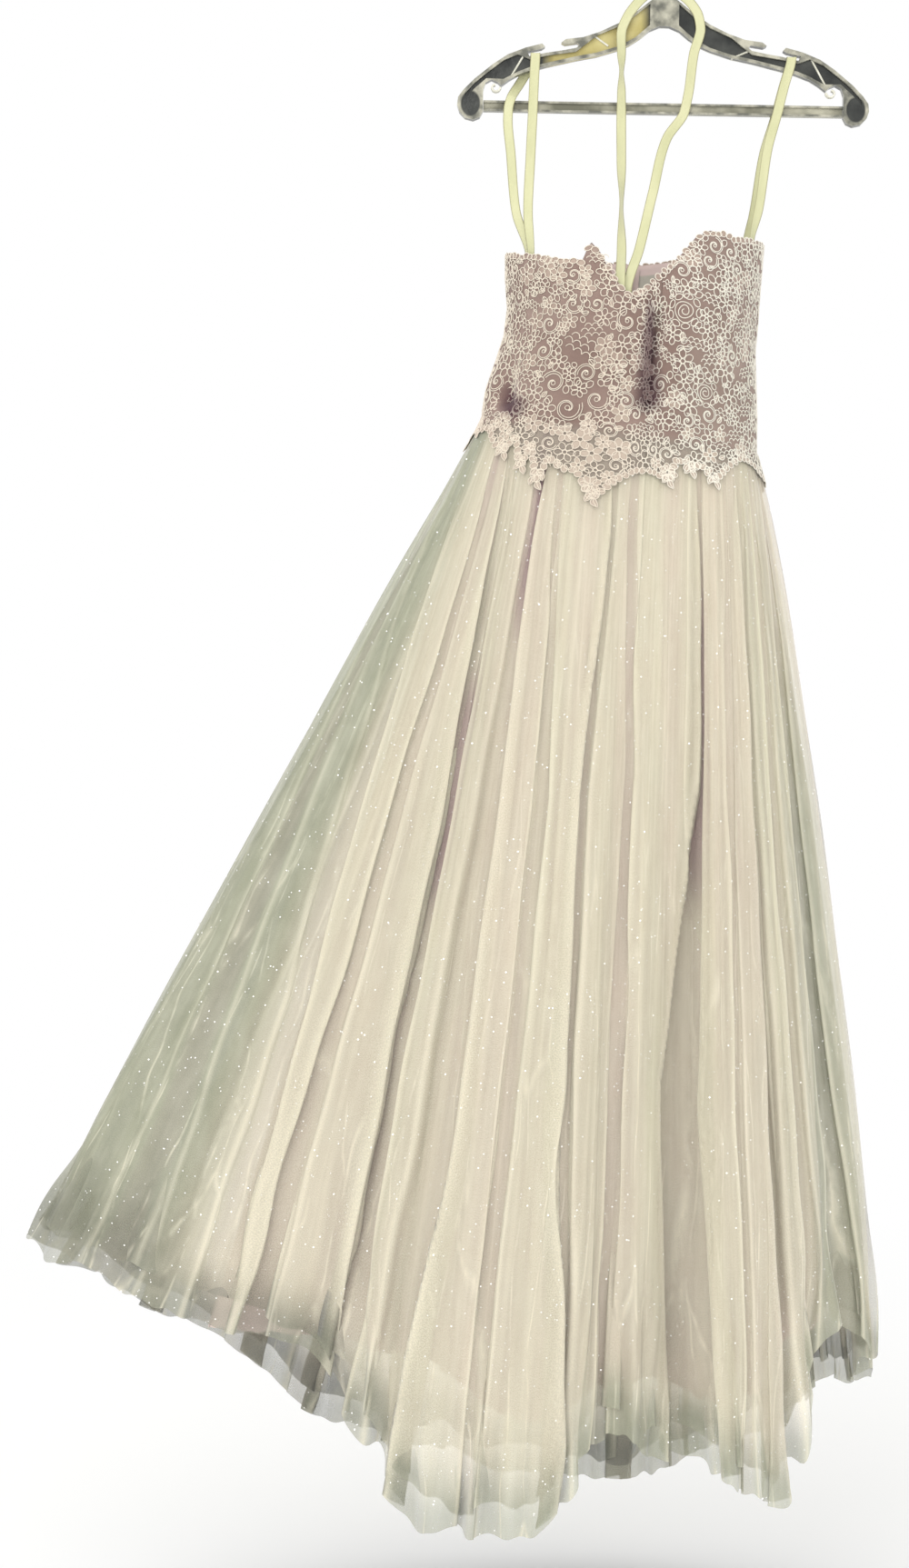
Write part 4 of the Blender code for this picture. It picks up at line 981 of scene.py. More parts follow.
def moulded_material(name, gold_reflection_arm):
    """Smoky clear moulding: dark thin web, painted highlights on the thick rims, and a painted gold
    reflection on one arm.
    """
    material, tree, shader = new_material(name, (0.30, 0.31, 0.29), 0.12, {
        "Coat Weight": 0.15, "Coat Roughness": 0.06, "Specular IOR Level": 0.3,
    })
    x, y, _ = axes_of(tree, object_place(tree))
    away = without_sign(tree, y)
    flow = patches(tree, 26.0, 4.0, 0.35, 0.68)
    if gold_reflection_arm:
        # Painted highlight on the thick rims, left out of the thin web at each end.
        rim = remap(tree, away, 0.0017, 0.0026, 0.0, 1.0)
        smoke = mix_colours(tree, flow, (0.018, 0.020, 0.019), (0.085, 0.088, 0.078))
        # Painted gold reflection on the web of the left arm.
        gold_reflection = mix_colours(tree, flow, (0.40, 0.33, 0.10), (0.60, 0.53, 0.24))
        arm = combined(tree, "MULTIPLY", remap(tree, x, -0.125, -0.112, 0.0, 1.0),
                       remap(tree, x, -0.022, -0.012, 1.0, 0.0))
        web = mix_colours(tree, arm, smoke, gold_reflection)
        for side in (-1.0, 1.0):
            end_x, end_z = hanger_place(side * END_WEB_PLACE[0], END_WEB_PLACE[1])
            oval = oval_distance(tree, object_place(tree), (end_x * MM, 0.0, end_z * MM), END_WEB_REACH)
            rim = combined(tree, "MINIMUM", rim, remap(tree, oval, 0.92, 1.08, 0.0, 1.0))
    else:
        # Painted highlight on the thick rims.
        rim = remap(tree, away, 0.0016, 0.0030, 0.0, 1.0)
        web = mix_colours(tree, flow, (0.16, 0.155, 0.11), (0.52, 0.50, 0.38))
    # Colour of the painted rim highlights, uneven.
    pale = mix_colours(tree, patches(tree, 70.0, 3.0, 0.35, 0.65), (0.14, 0.14, 0.115), (0.50, 0.48, 0.38))
    tree.links.new(mix_colours(tree, rim, web, pale), shader.inputs["Base Color"])
    tree.links.new(remap(tree, flow, 0.0, 1.0, 0.08, 0.22), shader.inputs["Roughness"])
    bump(tree, shader, object_noise(tree, 130.0, 2.0), 0.25, 0.0012)
    return material


def rim_highlight_material(name):
    """Thick edges of the clear moulding, painted pale as highlights."""
    material, tree, shader = new_material(name, (0.72, 0.70, 0.58), 0.15, {"Coat Weight": 0.5})
    drift = patches(tree, 90.0, 3.0, 0.35, 0.65)
    pale = mix_colours(tree, drift, (0.58, 0.57, 0.46), (0.82, 0.80, 0.68))
    tree.links.new(pale, shader.inputs["Base Color"])
    return material


def floor_material(name):
    """Pale paper that fades to the white of the room away from the gown."""
    paper = (0.93, 0.93, 0.92)
    material, tree, shader = new_material(name, paper, 0.9, {
        "Emission Color": (1.0, 1.0, 1.0, 1.0), "Specular IOR Level": 0.0,
    })
    level = add_node(tree, "ShaderNodeVectorMath", operation="MULTIPLY")
    level.inputs[1].default_value = (1.0, 1.0, 0.0)
    tree.links.new(object_place(tree), level.inputs[0])
    far = remap(tree, length_of(tree, level.outputs[0]), 0.9, 2.6, 0.0, 1.0)
    tree.links.new(mix_colours(tree, far, paper, (0.0, 0.0, 0.0)), shader.inputs["Base Color"])
    tree.links.new(far, shader.inputs["Emission Strength"])
    return material


def wire_material(name):
    """Polished hook wire with fine drawn lines."""
    material, tree, shader = new_material(name, (0.72, 0.72, 0.72), 0.18, {"Metallic": 1.0})
    vary_gloss(tree, shader, 700.0, 2.0, 0.12, 0.30)
    bump(tree, shader, object_noise(tree, 700.0, 2.0), 0.1, 0.0002)
    return material


def coil_material(name):
    """Nylon of the zip's coil, uneven in its gloss."""
    material, tree, shader = new_material(name, (0.62, 0.50, 0.46), 0.4)
    vary_gloss(tree, shader, 500.0, 2.0, 0.32, 0.48)
    return material


def slider_material(name):
    """Painted metal of the zip's slider and puller."""
    material, tree, shader = new_material(name, (0.66, 0.56, 0.50), 0.35, {"Metallic": 0.7})
    vary_gloss(tree, shader, 300.0, 2.0, 0.28, 0.45)
    return material


def glitter_material(name):
    """Bright flakes that catch the light, with a faint painted glow."""
    # The faint emission is a painted glow.
    material, tree, shader = new_material(name, (0.97, 0.96, 0.92), 0.2, {
        "Metallic": 0.6, "Emission Color": (1.0, 0.99, 0.95, 1.0), "Emission Strength": 0.25,
    })
    vary_gloss(tree, shader, 400.0, 1.0, 0.14, 0.26)
    return material


def hanger_place(across, height):
    """Place a point of the upright hanger in the part, with its slight tilt."""
    above = height - HANGER_PIVOT_HEIGHT
    x = HANGER_CENTRE_X + across * math.cos(HANGER_TILT) + above * math.sin(HANGER_TILT)
    z = HANGER_PIVOT_HEIGHT - across * math.sin(HANGER_TILT) + above * math.cos(HANGER_TILT)
    return x, z


def plate_with_bevel(name, seat, half_outline, thick, material):
    """A small plate with rounded edges, facing along Y, at a seat in millimetres."""
    outline = [(x, z) for z, x in half_outline] + [(-x, z) for z, x in reversed(half_outline)]
    form = bmesh.new()
    corners = [form.verts.new((seat[0] + x, seat[1] - thick / 2, seat[2] + z)) for x, z in outline]
    face = form.faces.new(corners)
    grown = bmesh.ops.extrude_face_region(form, geom=[face])
    moved = [item for item in grown["geom"] if isinstance(item, bmesh.types.BMVert)]
    bmesh.ops.translate(form, verts=moved, vec=(0.0, thick, 0.0))
    bmesh.ops.bevel(form, geom=form.edges[:], offset=thick * 0.22, segments=3, profile=0.6,
                    affect="EDGES", clamp_overlap=True)
    bmesh.ops.recalc_face_normals(form, faces=form.faces)
    bmesh.ops.scale(form, vec=(MM, MM, MM), verts=form.verts)
    mesh = bpy.data.meshes.new(name)
    form.to_mesh(mesh)
    form.free()
    return finish_piece(link_mesh(name, mesh, material), "zip")


def ribbon_seat(angle, inward):
    """Points and outward directions of a ribbon's sewn end, up to the bodice's edge."""
    heights = straight_round(NECKLINE, 1, np.array([angle]))[0] + np.array(SEAT_HEIGHTS)
    points, outward = bodice_form(np.full(len(heights), angle), heights)
    return points - outward * inward, outward


def ribbon_path(name):
    """Middle line of a ribbon in close steps, its width directions and its faces."""
    first_angle, first_inward, last_angle, last_inward = LOOP_SEATS[name]
    free = np.array(LOOP_RUNS[name])
    first, first_outward = ribbon_seat(first_angle, first_inward)
    last, last_outward = ribbon_seat(last_angle, last_inward)
    route = np.concatenate([first, free[:, :3], last[::-1]])
    heading, tilt = np.radians(free[:, 3]), np.radians(free[:, 4])
    faces_out = np.stack([np.sin(heading) * np.cos(tilt), -np.cos(heading) * np.cos(tilt),
                          np.sin(tilt)], axis=-1)
    wanted = np.concatenate([first_outward * math.copysign(1.0, first_outward[-1] @ faces_out[0]),
                             faces_out,
                             last_outward[::-1] * math.copysign(1.0, last_outward[-1] @ faces_out[-1])])
    spans = np.linalg.norm(np.diff(route, axis=0), axis=-1)
    knots = np.concatenate([[0.0], np.cumsum(spans)])
    slopes = np.gradient(route, knots, axis=0)
    middle, faces = [], []
    for place, span in enumerate(spans):
        count = max(2, int(span / 3.0))
        for share in np.arange(count) / count:
            ease = share * share * (3.0 - 2.0 * share)
            rest = 1.0 - share
            bend = share * rest * rest * slopes[place] - share * share * rest * slopes[place + 1]
            bend = bend * span * 0.8
            middle.append(route[place] * (1.0 - ease) + route[place + 1] * ease + bend)
            faces.append(wanted[place] * (1.0 - ease) + wanted[place + 1] * ease)
    middle = np.array(middle + [route[-1]])
    faces = np.array(faces + [wanted[-1]])
    runs = np.gradient(middle, axis=0)
    runs /= np.linalg.norm(runs, axis=-1, keepdims=True)
    faces -= runs * np.sum(faces * runs, axis=-1, keepdims=True)
    faces /= np.linalg.norm(faces, axis=-1, keepdims=True)
    return middle, np.cross(runs, faces), faces


def face_outward(piece):
    """Turn a piece's faces away from the middle of the gown."""
    mesh = piece.data
    centre = np.array([WAIST_CENTRE_X * MM, 0.0, 0.0])
    places = np.zeros(len(mesh.polygons) * 3)
    normals = np.zeros(len(mesh.polygons) * 3)
    mesh.polygons.foreach_get("center", places)
    mesh.polygons.foreach_get("normal", normals)
    away = (places.reshape(-1, 3) - centre) * np.array([1.0, 1.6, 0.0])
    inward = np.sum(away * normals.reshape(-1, 3), axis=-1) < 0.0
    for polygon, flipped in zip(mesh.polygons, inward):
        if flipped:
            polygon.flip()
    mesh.update()


def settings_for(place, seed, strength, inset, stand_off, flat_width, hem_lift, hem_ripple=3.0,
                 ripple=2.2, lift=0.0):
    """Fold settings of one side of a skirt layer, front or back."""
    if place == "front":
        recesses = FRONT_RECESSES
        small = minor_folds(seed, 22, 182.0, 358.0)
    else:
        recesses = back_recesses()
        small = minor_folds(seed + 50, 20, 2.0, 178.0)
    return {"recesses": recesses, "small": small, "strength": strength, "waist_inset": inset,
            "stand_off": stand_off, "seed": seed, "ripple": ripple, "hem_ripple": hem_ripple,
            "hem_lift": hem_lift, "flat_width": flat_width, "lift": lift}


# Lace: motifs are drawn flat, as distance round the bodice and height above the waist seam

LACE_RING = np.arange(0.0, 361.0, 1.0)


def lace_measure():
    """Distance round the bodice at each whole degree, at the height of the bust."""
    ring = bodice_form(LACE_RING, waist_height(LACE_RING) + 90.0)[0]
    steps = np.linalg.norm(np.diff(ring, axis=0), axis=-1)
    return np.concatenate([[0.0], np.cumsum(steps)])


lace_round = lace_measure()


def angle_at(distance):
    """Angle at a distance round the bodice, or at many."""
    return np.interp(distance, lace_round, LACE_RING)


def distance_at(angle):
    """Distance round the bodice at an angle."""
    return float(np.interp(angle, LACE_RING, lace_round))


def lace_surface(distance, height, proud):
    """Points on the outside of the bodice, or of the skirt below it, in mm."""
    angles = angle_at(distance)
    upper, outward = bodice_form(angles, waist_height(angles) + np.maximum(height, 0.0))
    hem = smooth_round(TULLE_HEM, 3, angles)
    shares = np.maximum(-height, 0.0) / (waist_height(angles) - hem)
    lower = skirt_form(angles, shares, TULLE_HEM, 0.0)
    points = np.where((height >= 0.0)[..., None], upper, lower)
    groove = (2.4 * bell(angles, FRONT_SEAM, 4.5) * smooth_step((height - 10.0) / 20.0)
              * smooth_step((135.0 - height) / 30.0))
    return points + outward * (stand_out(height) + proud + groove)[..., None]


def stand_out(height):
    """How far the lace ground stands off the form, less over the skirt."""
    return BODICE_OUTSIDE - (BODICE_OUTSIDE - SKIRT_LACE_OUTSIDE) * smooth_step(-height / 14.0)


def bare(distance, height):
    """True in the side pinch, where the lace is sunk out of sight."""
    turn = float(angle_at(distance)) - 215.0
    return (turn / 5.0) ** 2 + ((height - 19.0 + turn * 0.9) / 9.0) ** 2 < 1.0


def turned(points, heading, centre):
    """Turn flat points to a heading and set them at a centre."""
    turn = np.array([[math.cos(heading), math.sin(heading)], [-math.sin(heading), math.cos(heading)]])
    return points @ turn + np.array(centre)


def spiral(centre, turns, reach):
    """Flat points at turns and distances round a centre."""
    return np.stack([centre[0] + reach * np.cos(turns), centre[1] + reach * np.sin(turns)], axis=-1)


def away_from(centre, heading, reach):
    """The point at a heading and a distance from a centre."""
    return centre[0] + reach * math.cos(heading), centre[1] + reach * math.sin(heading)


def loop_points(centre, across, along, heading, count=10):
    """A closed oval, its long axis along a heading."""
    turns = np.arange(count) * 2 * math.pi / count
    return turned(np.stack([np.cos(turns) * along, np.sin(turns) * across], axis=-1), heading, centre)


def flower(pick, centre, size):
    """Petal loops round a ring: lines and filled shapes."""
    count = pick.choice((5, 5, 6, 7))
    start = pick.uniform(0.0, 6.3)
    lines, fills = [], []
    for place in range(count):
        heading = start + place * 2 * math.pi / count + pick.uniform(-0.12, 0.12)
        reach = size * pick.uniform(0.56, 0.64)
        petal = loop_points(away_from(centre, heading, reach), size * 0.31, size * 0.41, heading)
        lines.append((petal, True))
        fills.append(petal)
    lines.append((loop_points(centre, size * 0.22, size * 0.22, 0.0, 8), True))
    return lines, fills


def rose(pick, centre, size):
    """A spiral of cord with petals round it."""
    shares = np.linspace(0.0, 1.0, 44)
    turns = shares * 2 * math.pi * 2.6 + pick.uniform(0.0, 6.3)
    reach = size * (0.12 + 0.55 * shares) * (1.0 + 0.07 * np.sin(turns * 2.6))
    lines = [(spiral(centre, turns, reach), False)]
    for place in range(9):
        heading = place * 2 * math.pi / 9
        middle = away_from(centre, heading, size * 0.86)
        lines.append((loop_points(middle, size * 0.17, size * 0.26, heading + 1.57), True))
    return lines, []


def leaf(pick, base, heading, length, width):
    """A pointed leaf with its midrib, growing from its base."""
    shares = np.linspace(0.0, 1.0, 8)
    bend = pick.uniform(-0.16, 0.16) * length
    spread = width / 2 * np.sin(np.pi * shares ** 0.8)
    middle = bend * np.sin(np.pi * shares)
    one = np.stack([shares * length, middle + spread], axis=-1)
    other = np.stack([shares * length, middle - spread], axis=-1)[-2:0:-1]
    rib = np.stack([shares[:-1] * length, middle[:-1]], axis=-1)
    outline = turned(np.concatenate([one, other]), heading, base)
    return [(outline, True), (turned(rib, heading, base), False)], [outline]


def scroll(pick, centre, size):
    """A curled tendril with a second, closer line and a bud at its end."""
    start = pick.uniform(0.0, 6.3)
    hand = pick.choice((-1.0, 1.0))
    shares = np.linspace(0.0, 1.0, 22)
    spins = pick.uniform(1.1, 1.5)
    lines = []
    for outer, reach_share in ((0.0, 1.0), (0.06, 0.80)):
        turns = start + hand * (shares * 2 * math.pi * spins + outer)
        reach = size * reach_share * (1.0 - 0.80 * shares)
        lines.append((spiral(centre, turns, reach), False))
    lines.append((loop_points(centre, size * 0.16, size * 0.16, 0.0, 8), True))
    return lines, []


def scales(pick, centre, size):
    """Rows of small arcs, one above the other."""
    heading = pick.uniform(-0.5, 0.5)
    lines = []
    step = size * 0.44
    turns = np.linspace(0.1, math.pi - 0.1, 6)
    for row in range(-1, 2):
        for column in range(-1, 2):
            middle = ((column + 0.5 * (row % 2)) * step * 1.25, row * step * 0.8)
            lines.append((turned(spiral(middle, turns, step * 0.6), heading, centre), False))
    return lines, []


LACE_FEATURES = (
    # motif, angle, height above the waist seam, size
    (rose, 290.7, 120.0, 17.0), (scales, 245.0, 74.0, 17.0), (scales, 251.0, 88.0, 13.0),
    (scroll, 246.0, 13.0, 15.0), (scroll, 258.0, 24.0, 13.0), (scroll, 238.0, 36.0, 13.0),
    (scroll, 252.0, 48.0, 11.0), (rose, 305.0, 46.0, 14.0), (scroll, 229.0, 66.0, 11.0),
    (rose, 60.0, 70.0, 16.0), (rose, 128.0, 96.0, 16.0), (scroll, 40.0, 30.0, 13.0),
    (scroll, 150.0, 44.0, 13.0), (scales, 110.0, 40.0, 15.0), (scales, 18.0, 100.0, 14.0),
)


def edge_rings(pick):
    """Small rings side by side along the lower edge of the lace."""
    length = lace_round[-1]
    rings = []
    for (start, drop), (end, next_drop) in zip(LACE_EDGE, LACE_EDGE[1:] + LACE_EDGE[:1]):
        end = end if end > start else end + 360.0
        first = np.array([distance_at(start), -drop])
        last_round = distance_at(end % 360.0) + (length if end >= 360.0 else 0.0)
        last = np.array([last_round, -next_drop])
        count = max(1, int(np.linalg.norm(last - first) / 6.2))
        for place in range(count):
            spot = first + (last - first) * (place + 0.5) / count
            centre = (spot[0] % length, spot[1] + 1.5)
            rings.append(loop_points(centre, 3.2, 3.9, pick.uniform(0.0, 3.1), 9))
    return rings


def point_leaves(pick):
    """Pairs of leaves down each point of the lower edge. Returns lines and filled shapes."""
    lines, fills = [], []
    for place, (angle, drop) in enumerate(LACE_EDGE):
        before = LACE_EDGE[place - 1][1]
        after = LACE_EDGE[(place + 1) % len(LACE_EDGE)][1]
        if drop <= before or drop <= after:
            continue
        centre = distance_at(angle)
        for step in range(4):
            side = 3.6 if step % 2 else -3.6
            base = (centre + side * 0.3, -drop + 16.0 - step * 4.6)
            more_lines, more_fills = leaf(pick, base, -math.pi / 2 + side * 0.13, 10.0, 5.6)
            lines.extend(more_lines)
            fills.extend(more_fills)
    return lines, fills


def neck_rings(pick):
    """Uneven rings side by side along the neckline."""
    rings = []
    x = 1.0
    while x < lace_round[-1]:
        angle = np.array([angle_at(x)])
        top = float(straight_round(NECKLINE, 1, angle)[0] - waist_height(angle)[0])
        rings.append(loop_points((x, top - pick.uniform(0.4, 2.4)), pick.uniform(2.4, 3.6),
                                 pick.uniform(3.6, 4.8), pick.uniform(-0.6, 0.6), 10))
        x += pick.uniform(5.4, 8.0)
    return rings


def lace_motifs(seed):
    """Fill the lace with motifs and follow its edges. Returns lines and filled shapes."""
    pick = random.Random(seed)
    length = lace_round[-1]
    cell = 1.5
    low = -90.0
    taken = np.zeros((int(length / cell) + 2, int(310.0 / cell)), dtype=bool)
    column_angles = angle_at(np.arange(taken.shape[0]) * cell)
    neck_at = straight_round(NECKLINE, 1, column_angles) - waist_height(column_angles)
    drop_at = straight_round(LACE_EDGE, 1, column_angles)
    lines, fills = [], []

    def cover_disc(x, y, reach):
        """Mark a disc of the lace as taken."""
        column, row = int(x / cell), int((y - low) / cell)
        for right in range(-reach, reach + 1):
            tall = int(math.sqrt(reach * reach - right * right))
            across = min(max(column + right, 0), taken.shape[0] - 1)
            taken[across, max(row - tall, 0):row + tall + 1] = True

    for make, angle, height, size in LACE_FEATURES:
        x = distance_at(angle)
        more_lines, _ = make(pick, (x, height), size)
        lines.extend(more_lines)
        cover_disc(x, height, int(size * 0.95 / cell))

    def try_place(make, size, share):
        """Draw one motif at a random spot, if the lace is still free there."""
        x = pick.uniform(0.0, length)
        column = min(int(x / cell), len(column_angles) - 1)
        top, bottom = neck_at[column] - size * 0.8, -drop_at[column] + size * 0.9
        if top <= bottom:
            return
        y = pick.uniform(bottom, top)
        reach = int(size * share / cell)
        row = int((y - low) / cell)
        spot = taken[max(column - reach, 0):column + reach + 1, max(row - reach, 0):row + reach + 1]
        if spot.any() or bare(x, y):
            return
        cover_disc(x, y, max(1, int(size * 0.86 / cell)))
        more_lines, more_fills = make(pick, (x, y), size)
        lines.extend(more_lines)
        if pick.random() < (0.5 if y < 8.0 else 0.22):
            fills.extend(more_fills)

    def small_ring(_, centre, size):
        """One small oval at a random heading."""
        return [(loop_points(centre, size * 0.8, size, pick.uniform(0.0, 3.1), 8), True)], []

    def small_leaf(_, centre, size):
        """One small leaf at a random heading."""
        return leaf(pick, centre, pick.uniform(0.0, 6.3), size * 1.5, size * 0.8)

    for make, tries, smallest, largest, share in (
        (scroll, 130, 8.0, 12.0, 0.62), (scales, 160, 9.0, 12.0, 0.60),
        (flower, 5000, 9.0, 12.0, 0.62), (flower, 5000, 7.2, 8.8, 0.58),
        (small_leaf, 1800, 5.0, 7.0, 0.46), (small_ring, 9000, 3.0, 4.4, 0.62),
    ):
        for _ in range(tries):
            try_place(make, pick.uniform(smallest, largest), share)
    rings = edge_rings(pick)
    leaf_lines, leaf_fills = point_leaves(pick)
    top_rings = neck_rings(pick)
    lines.extend([(ring, True) for ring in rings] + leaf_lines + [(ring, True) for ring in top_rings])
    fills.extend(rings + leaf_fills + top_rings)
    return lines, fills


def panel_at(distance):
    """Name of the bodice panel at a distance round the bodice."""
    angle = angle_at(distance % lace_round[-1])
    for name, (first, last) in PANELS.items():
        if first <= angle < last:
            return name
    return "front_right"


def curve_of(name, lines, closed_flags):
    """A curve object of many straight-run splines, in metres."""
    curve = bpy.data.curves.new(name, "CURVE")
    curve.dimensions = "3D"
    for points, closed in zip(lines, closed_flags):
        spline = curve.splines.new("POLY")
        spline.points.add(len(points) - 1)
        flat = np.concatenate([points * MM, np.ones((len(points), 1))], axis=-1)
        spline.points.foreach_set("co", flat.ravel())
        spline.use_cyclic_u = closed
    piece = bpy.data.objects.new(name, curve)
    bpy.context.scene.collection.objects.link(piece)
    return piece


# Geometry Nodes

def new_tree(name, *inputs):
    """A geometry tree with a geometry input and output, and named inputs."""
    tree = bpy.data.node_groups.new(name, "GeometryNodeTree")
    tree.interface.new_socket("Geometry", in_out="INPUT", socket_type="NodeSocketGeometry")
    for label, kind in inputs:
        tree.interface.new_socket(label, in_out="INPUT", socket_type=kind)
    tree.interface.new_socket("Geometry", in_out="OUTPUT", socket_type="NodeSocketGeometry")
    start = tree.nodes.new("NodeGroupInput")
    end = tree.nodes.new("NodeGroupOutput")
    return tree, start, end


def close_tree(tree, start, end, geometry):
    """End a tree in Realize Instances and Set Material."""
    real = tree.nodes.new("GeometryNodeRealizeInstances")
    paint = tree.nodes.new("GeometryNodeSetMaterial")
    tree.links.new(geometry, real.inputs[0])
    tree.links.new(real.outputs[0], paint.inputs["Geometry"])
    tree.links.new(start.outputs["Material"], paint.inputs["Material"])
    tree.links.new(paint.outputs[0], end.inputs[0])


def cord_tree():
    """Sweep a round cord along every curve."""
    tree, start, end = new_tree("swept cord", ("Radius", "NodeSocketFloat"), ("Spacing", "NodeSocketFloat"),
                                ("Sides", "NodeSocketInt"), ("Material", "NodeSocketMaterial"))
    evenly = add_node(tree, "GeometryNodeResampleCurve", mode="LENGTH")
    circle = tree.nodes.new("GeometryNodeCurvePrimitiveCircle")
    sweep = tree.nodes.new("GeometryNodeCurveToMesh")
    sweep.inputs["Fill Caps"].default_value = True
    smooth = tree.nodes.new("GeometryNodeSetShadeSmooth")
    tree.links.new(start.outputs["Geometry"], evenly.inputs["Curve"])
    tree.links.new(start.outputs["Spacing"], evenly.inputs["Length"])
    tree.links.new(start.outputs["Sides"], circle.inputs["Resolution"])
    tree.links.new(start.outputs["Radius"], circle.inputs["Radius"])
    tree.links.new(evenly.outputs[0], sweep.inputs["Curve"])
    tree.links.new(circle.outputs[0], sweep.inputs["Profile Curve"])
    tree.links.new(sweep.outputs[0], smooth.inputs[0])
    close_tree(tree, start, end, smooth.outputs[0])
    return tree


def sparkle_tree():
    """Scatter small flat flakes over a cloth."""
    tree, start, end = new_tree("sparkles", ("Density", "NodeSocketFloat"), ("Size", "NodeSocketFloat"),
                                ("Seed", "NodeSocketInt"), ("Material", "NodeSocketMaterial"))
    scatter = tree.nodes.new("GeometryNodeDistributePointsOnFaces")
    flake = tree.nodes.new("GeometryNodeMeshCircle")
    flake.fill_type = "NGON"
    flake.inputs["Vertices"].default_value = 5
    place = tree.nodes.new("GeometryNodeInstanceOnPoints")
    vary = add_node(tree, "FunctionNodeRandomValue", data_type="FLOAT")
    vary.inputs[2].default_value = 0.55
    vary.inputs[3].default_value = 1.25
    tilt = add_node(tree, "FunctionNodeRandomValue", data_type="FLOAT_VECTOR")
    tilt.inputs[0].default_value = (-0.5, -0.5, -3.1)
    tilt.inputs[1].default_value = (0.5, 0.5, 3.1)
    turn = add_node(tree, "FunctionNodeRotateRotation", rotation_space="LOCAL")
    raise_up = tree.nodes.new("GeometryNodeSetPosition")
    lift = add_node(tree, "ShaderNodeVectorMath", operation="SCALE")
    lift.inputs["Scale"].default_value = 0.0008
    tree.links.new(start.outputs["Geometry"], scatter.inputs["Mesh"])
    tree.links.new(start.outputs["Density"], scatter.inputs["Density"])
    tree.links.new(start.outputs["Seed"], scatter.inputs["Seed"])
    tree.links.new(scatter.outputs["Normal"], lift.inputs[0])
    tree.links.new(scatter.outputs["Points"], raise_up.inputs["Geometry"])
    tree.links.new(lift.outputs[0], raise_up.inputs["Offset"])
    tree.links.new(raise_up.outputs[0], place.inputs["Points"])
    tree.links.new(scatter.outputs["Rotation"], turn.inputs["Rotation"])
    tree.links.new(tilt.outputs[0], turn.inputs["Rotate By"])
    tree.links.new(turn.outputs[0], place.inputs["Rotation"])
    tree.links.new(start.outputs["Size"], flake.inputs["Radius"])
    tree.links.new(flake.outputs[0], place.inputs["Instance"])
    tree.links.new(vary.outputs[1], place.inputs["Scale"])
    close_tree(tree, start, end, place.outputs[0])
    return tree


def baked(source, tree, name, remove_source=True, **values):
    """Run a tree on an object and return the result as a plain mesh object."""
    modifier = source.modifiers.new("made", "NODES")
    modifier.node_group = tree
    for item in tree.interface.items_tree:
        if item.in_out == "INPUT" and item.name in values:
            modifier[item.identifier] = values[item.name]
    graph = bpy.context.evaluated_depsgraph_get()
    graph.update()
    mesh = bpy.data.meshes.new_from_object(source.evaluated_get(graph), depsgraph=graph)
    source.modifiers.remove(modifier)
    mesh.name = name
    piece = bpy.data.objects.new(name, mesh)
    bpy.context.scene.collection.objects.link(piece)
    if remove_source:
        bpy.data.objects.remove(source, do_unlink=True)
    return piece


# Sizes and colours that a user may change

def colour_choice(name, description, default):
    """A colour that a user may change."""
    return FloatVectorProperty(name=name, description=description, default=default, subtype="COLOR",
                               min=0.0, max=1.0)


class GownSettings(bpy.types.PropertyGroup):
    """Sizes and colours of the gown."""

    cord: FloatProperty(
        name="Lace cord", description="Thickness of the lace cords", default=0.95 * MM, min=0.0,
        unit="LENGTH", precision=4)
    sparkles: IntProperty(
        name="Sparkles", description="Glitter dots on the outer tulle", default=9000, min=0)
    tulle_colour: colour_choice(
        name="Tulle", description="Colour of the tulle over the lining", default=(0.90, 0.85, 0.62))
    blush_colour: colour_choice(
        name="Blush tulle", description="Colour of the warmer parts of the tulle over the lining",
        default=(0.91, 0.80, 0.62))
    # The sheer colour is partly the net's own colour and partly painted shade of the skirt's inside.
    sheer_shade_colour: colour_choice(
        name="Sheer tulle", description="Colour of the tulle where nothing lies behind it",
        default=(0.42, 0.43, 0.31))
    lining_colour: colour_choice(
        name="Lining", description="Colour of the satin lining", default=(0.92, 0.76, 0.66))
    base_colour: colour_choice(
        name="Lace base", description="Colour of the cloth under the lace", default=(0.25, 0.165, 0.135))
    ribbon_colour: colour_choice(
        name="Ribbon", description="Colour of the hanging ribbons", default=(0.56, 0.56, 0.31))
    lace_colour: colour_choice(
        name="Lace cords", description="Colour of the lace cords", default=(0.84, 0.73, 0.60))


class GOWN_OT_lining(bpy.types.Operator):
    """Make the satin lining of the skirt, front and back"""

    bl_idname = "gown.lining"
    bl_label = "Skirt Lining"

    def execute(self, context):
        material = satin_material("lining satin", tuple(context.scene.gown.lining_colour),
                                  hollow_shade_colour=(0.42, 0.22, 0.28))
        for place, (first, last) in SIDES.items():
            settings = settings_for(
                place, seed=11, strength=0.45, inset=LINING_TOP_INSET, stand_off=LINING_STAND_OFF,
                flat_width=1.1, hem_lift=3.0, hem_ripple=1.0, ripple=1.0)
            settings["small"] = settings["small"][::3]
            points, tone, flat_map = skirt_layer(first, last, *LINING_GRID, LINING_HEM, settings)
            piece = shell(f"skirt_lining_{place}_cloth", points, tone, flat_map, material)
            finish_piece(piece, "lining", f"skirt_lining_{place}")
        return {"FINISHED"}


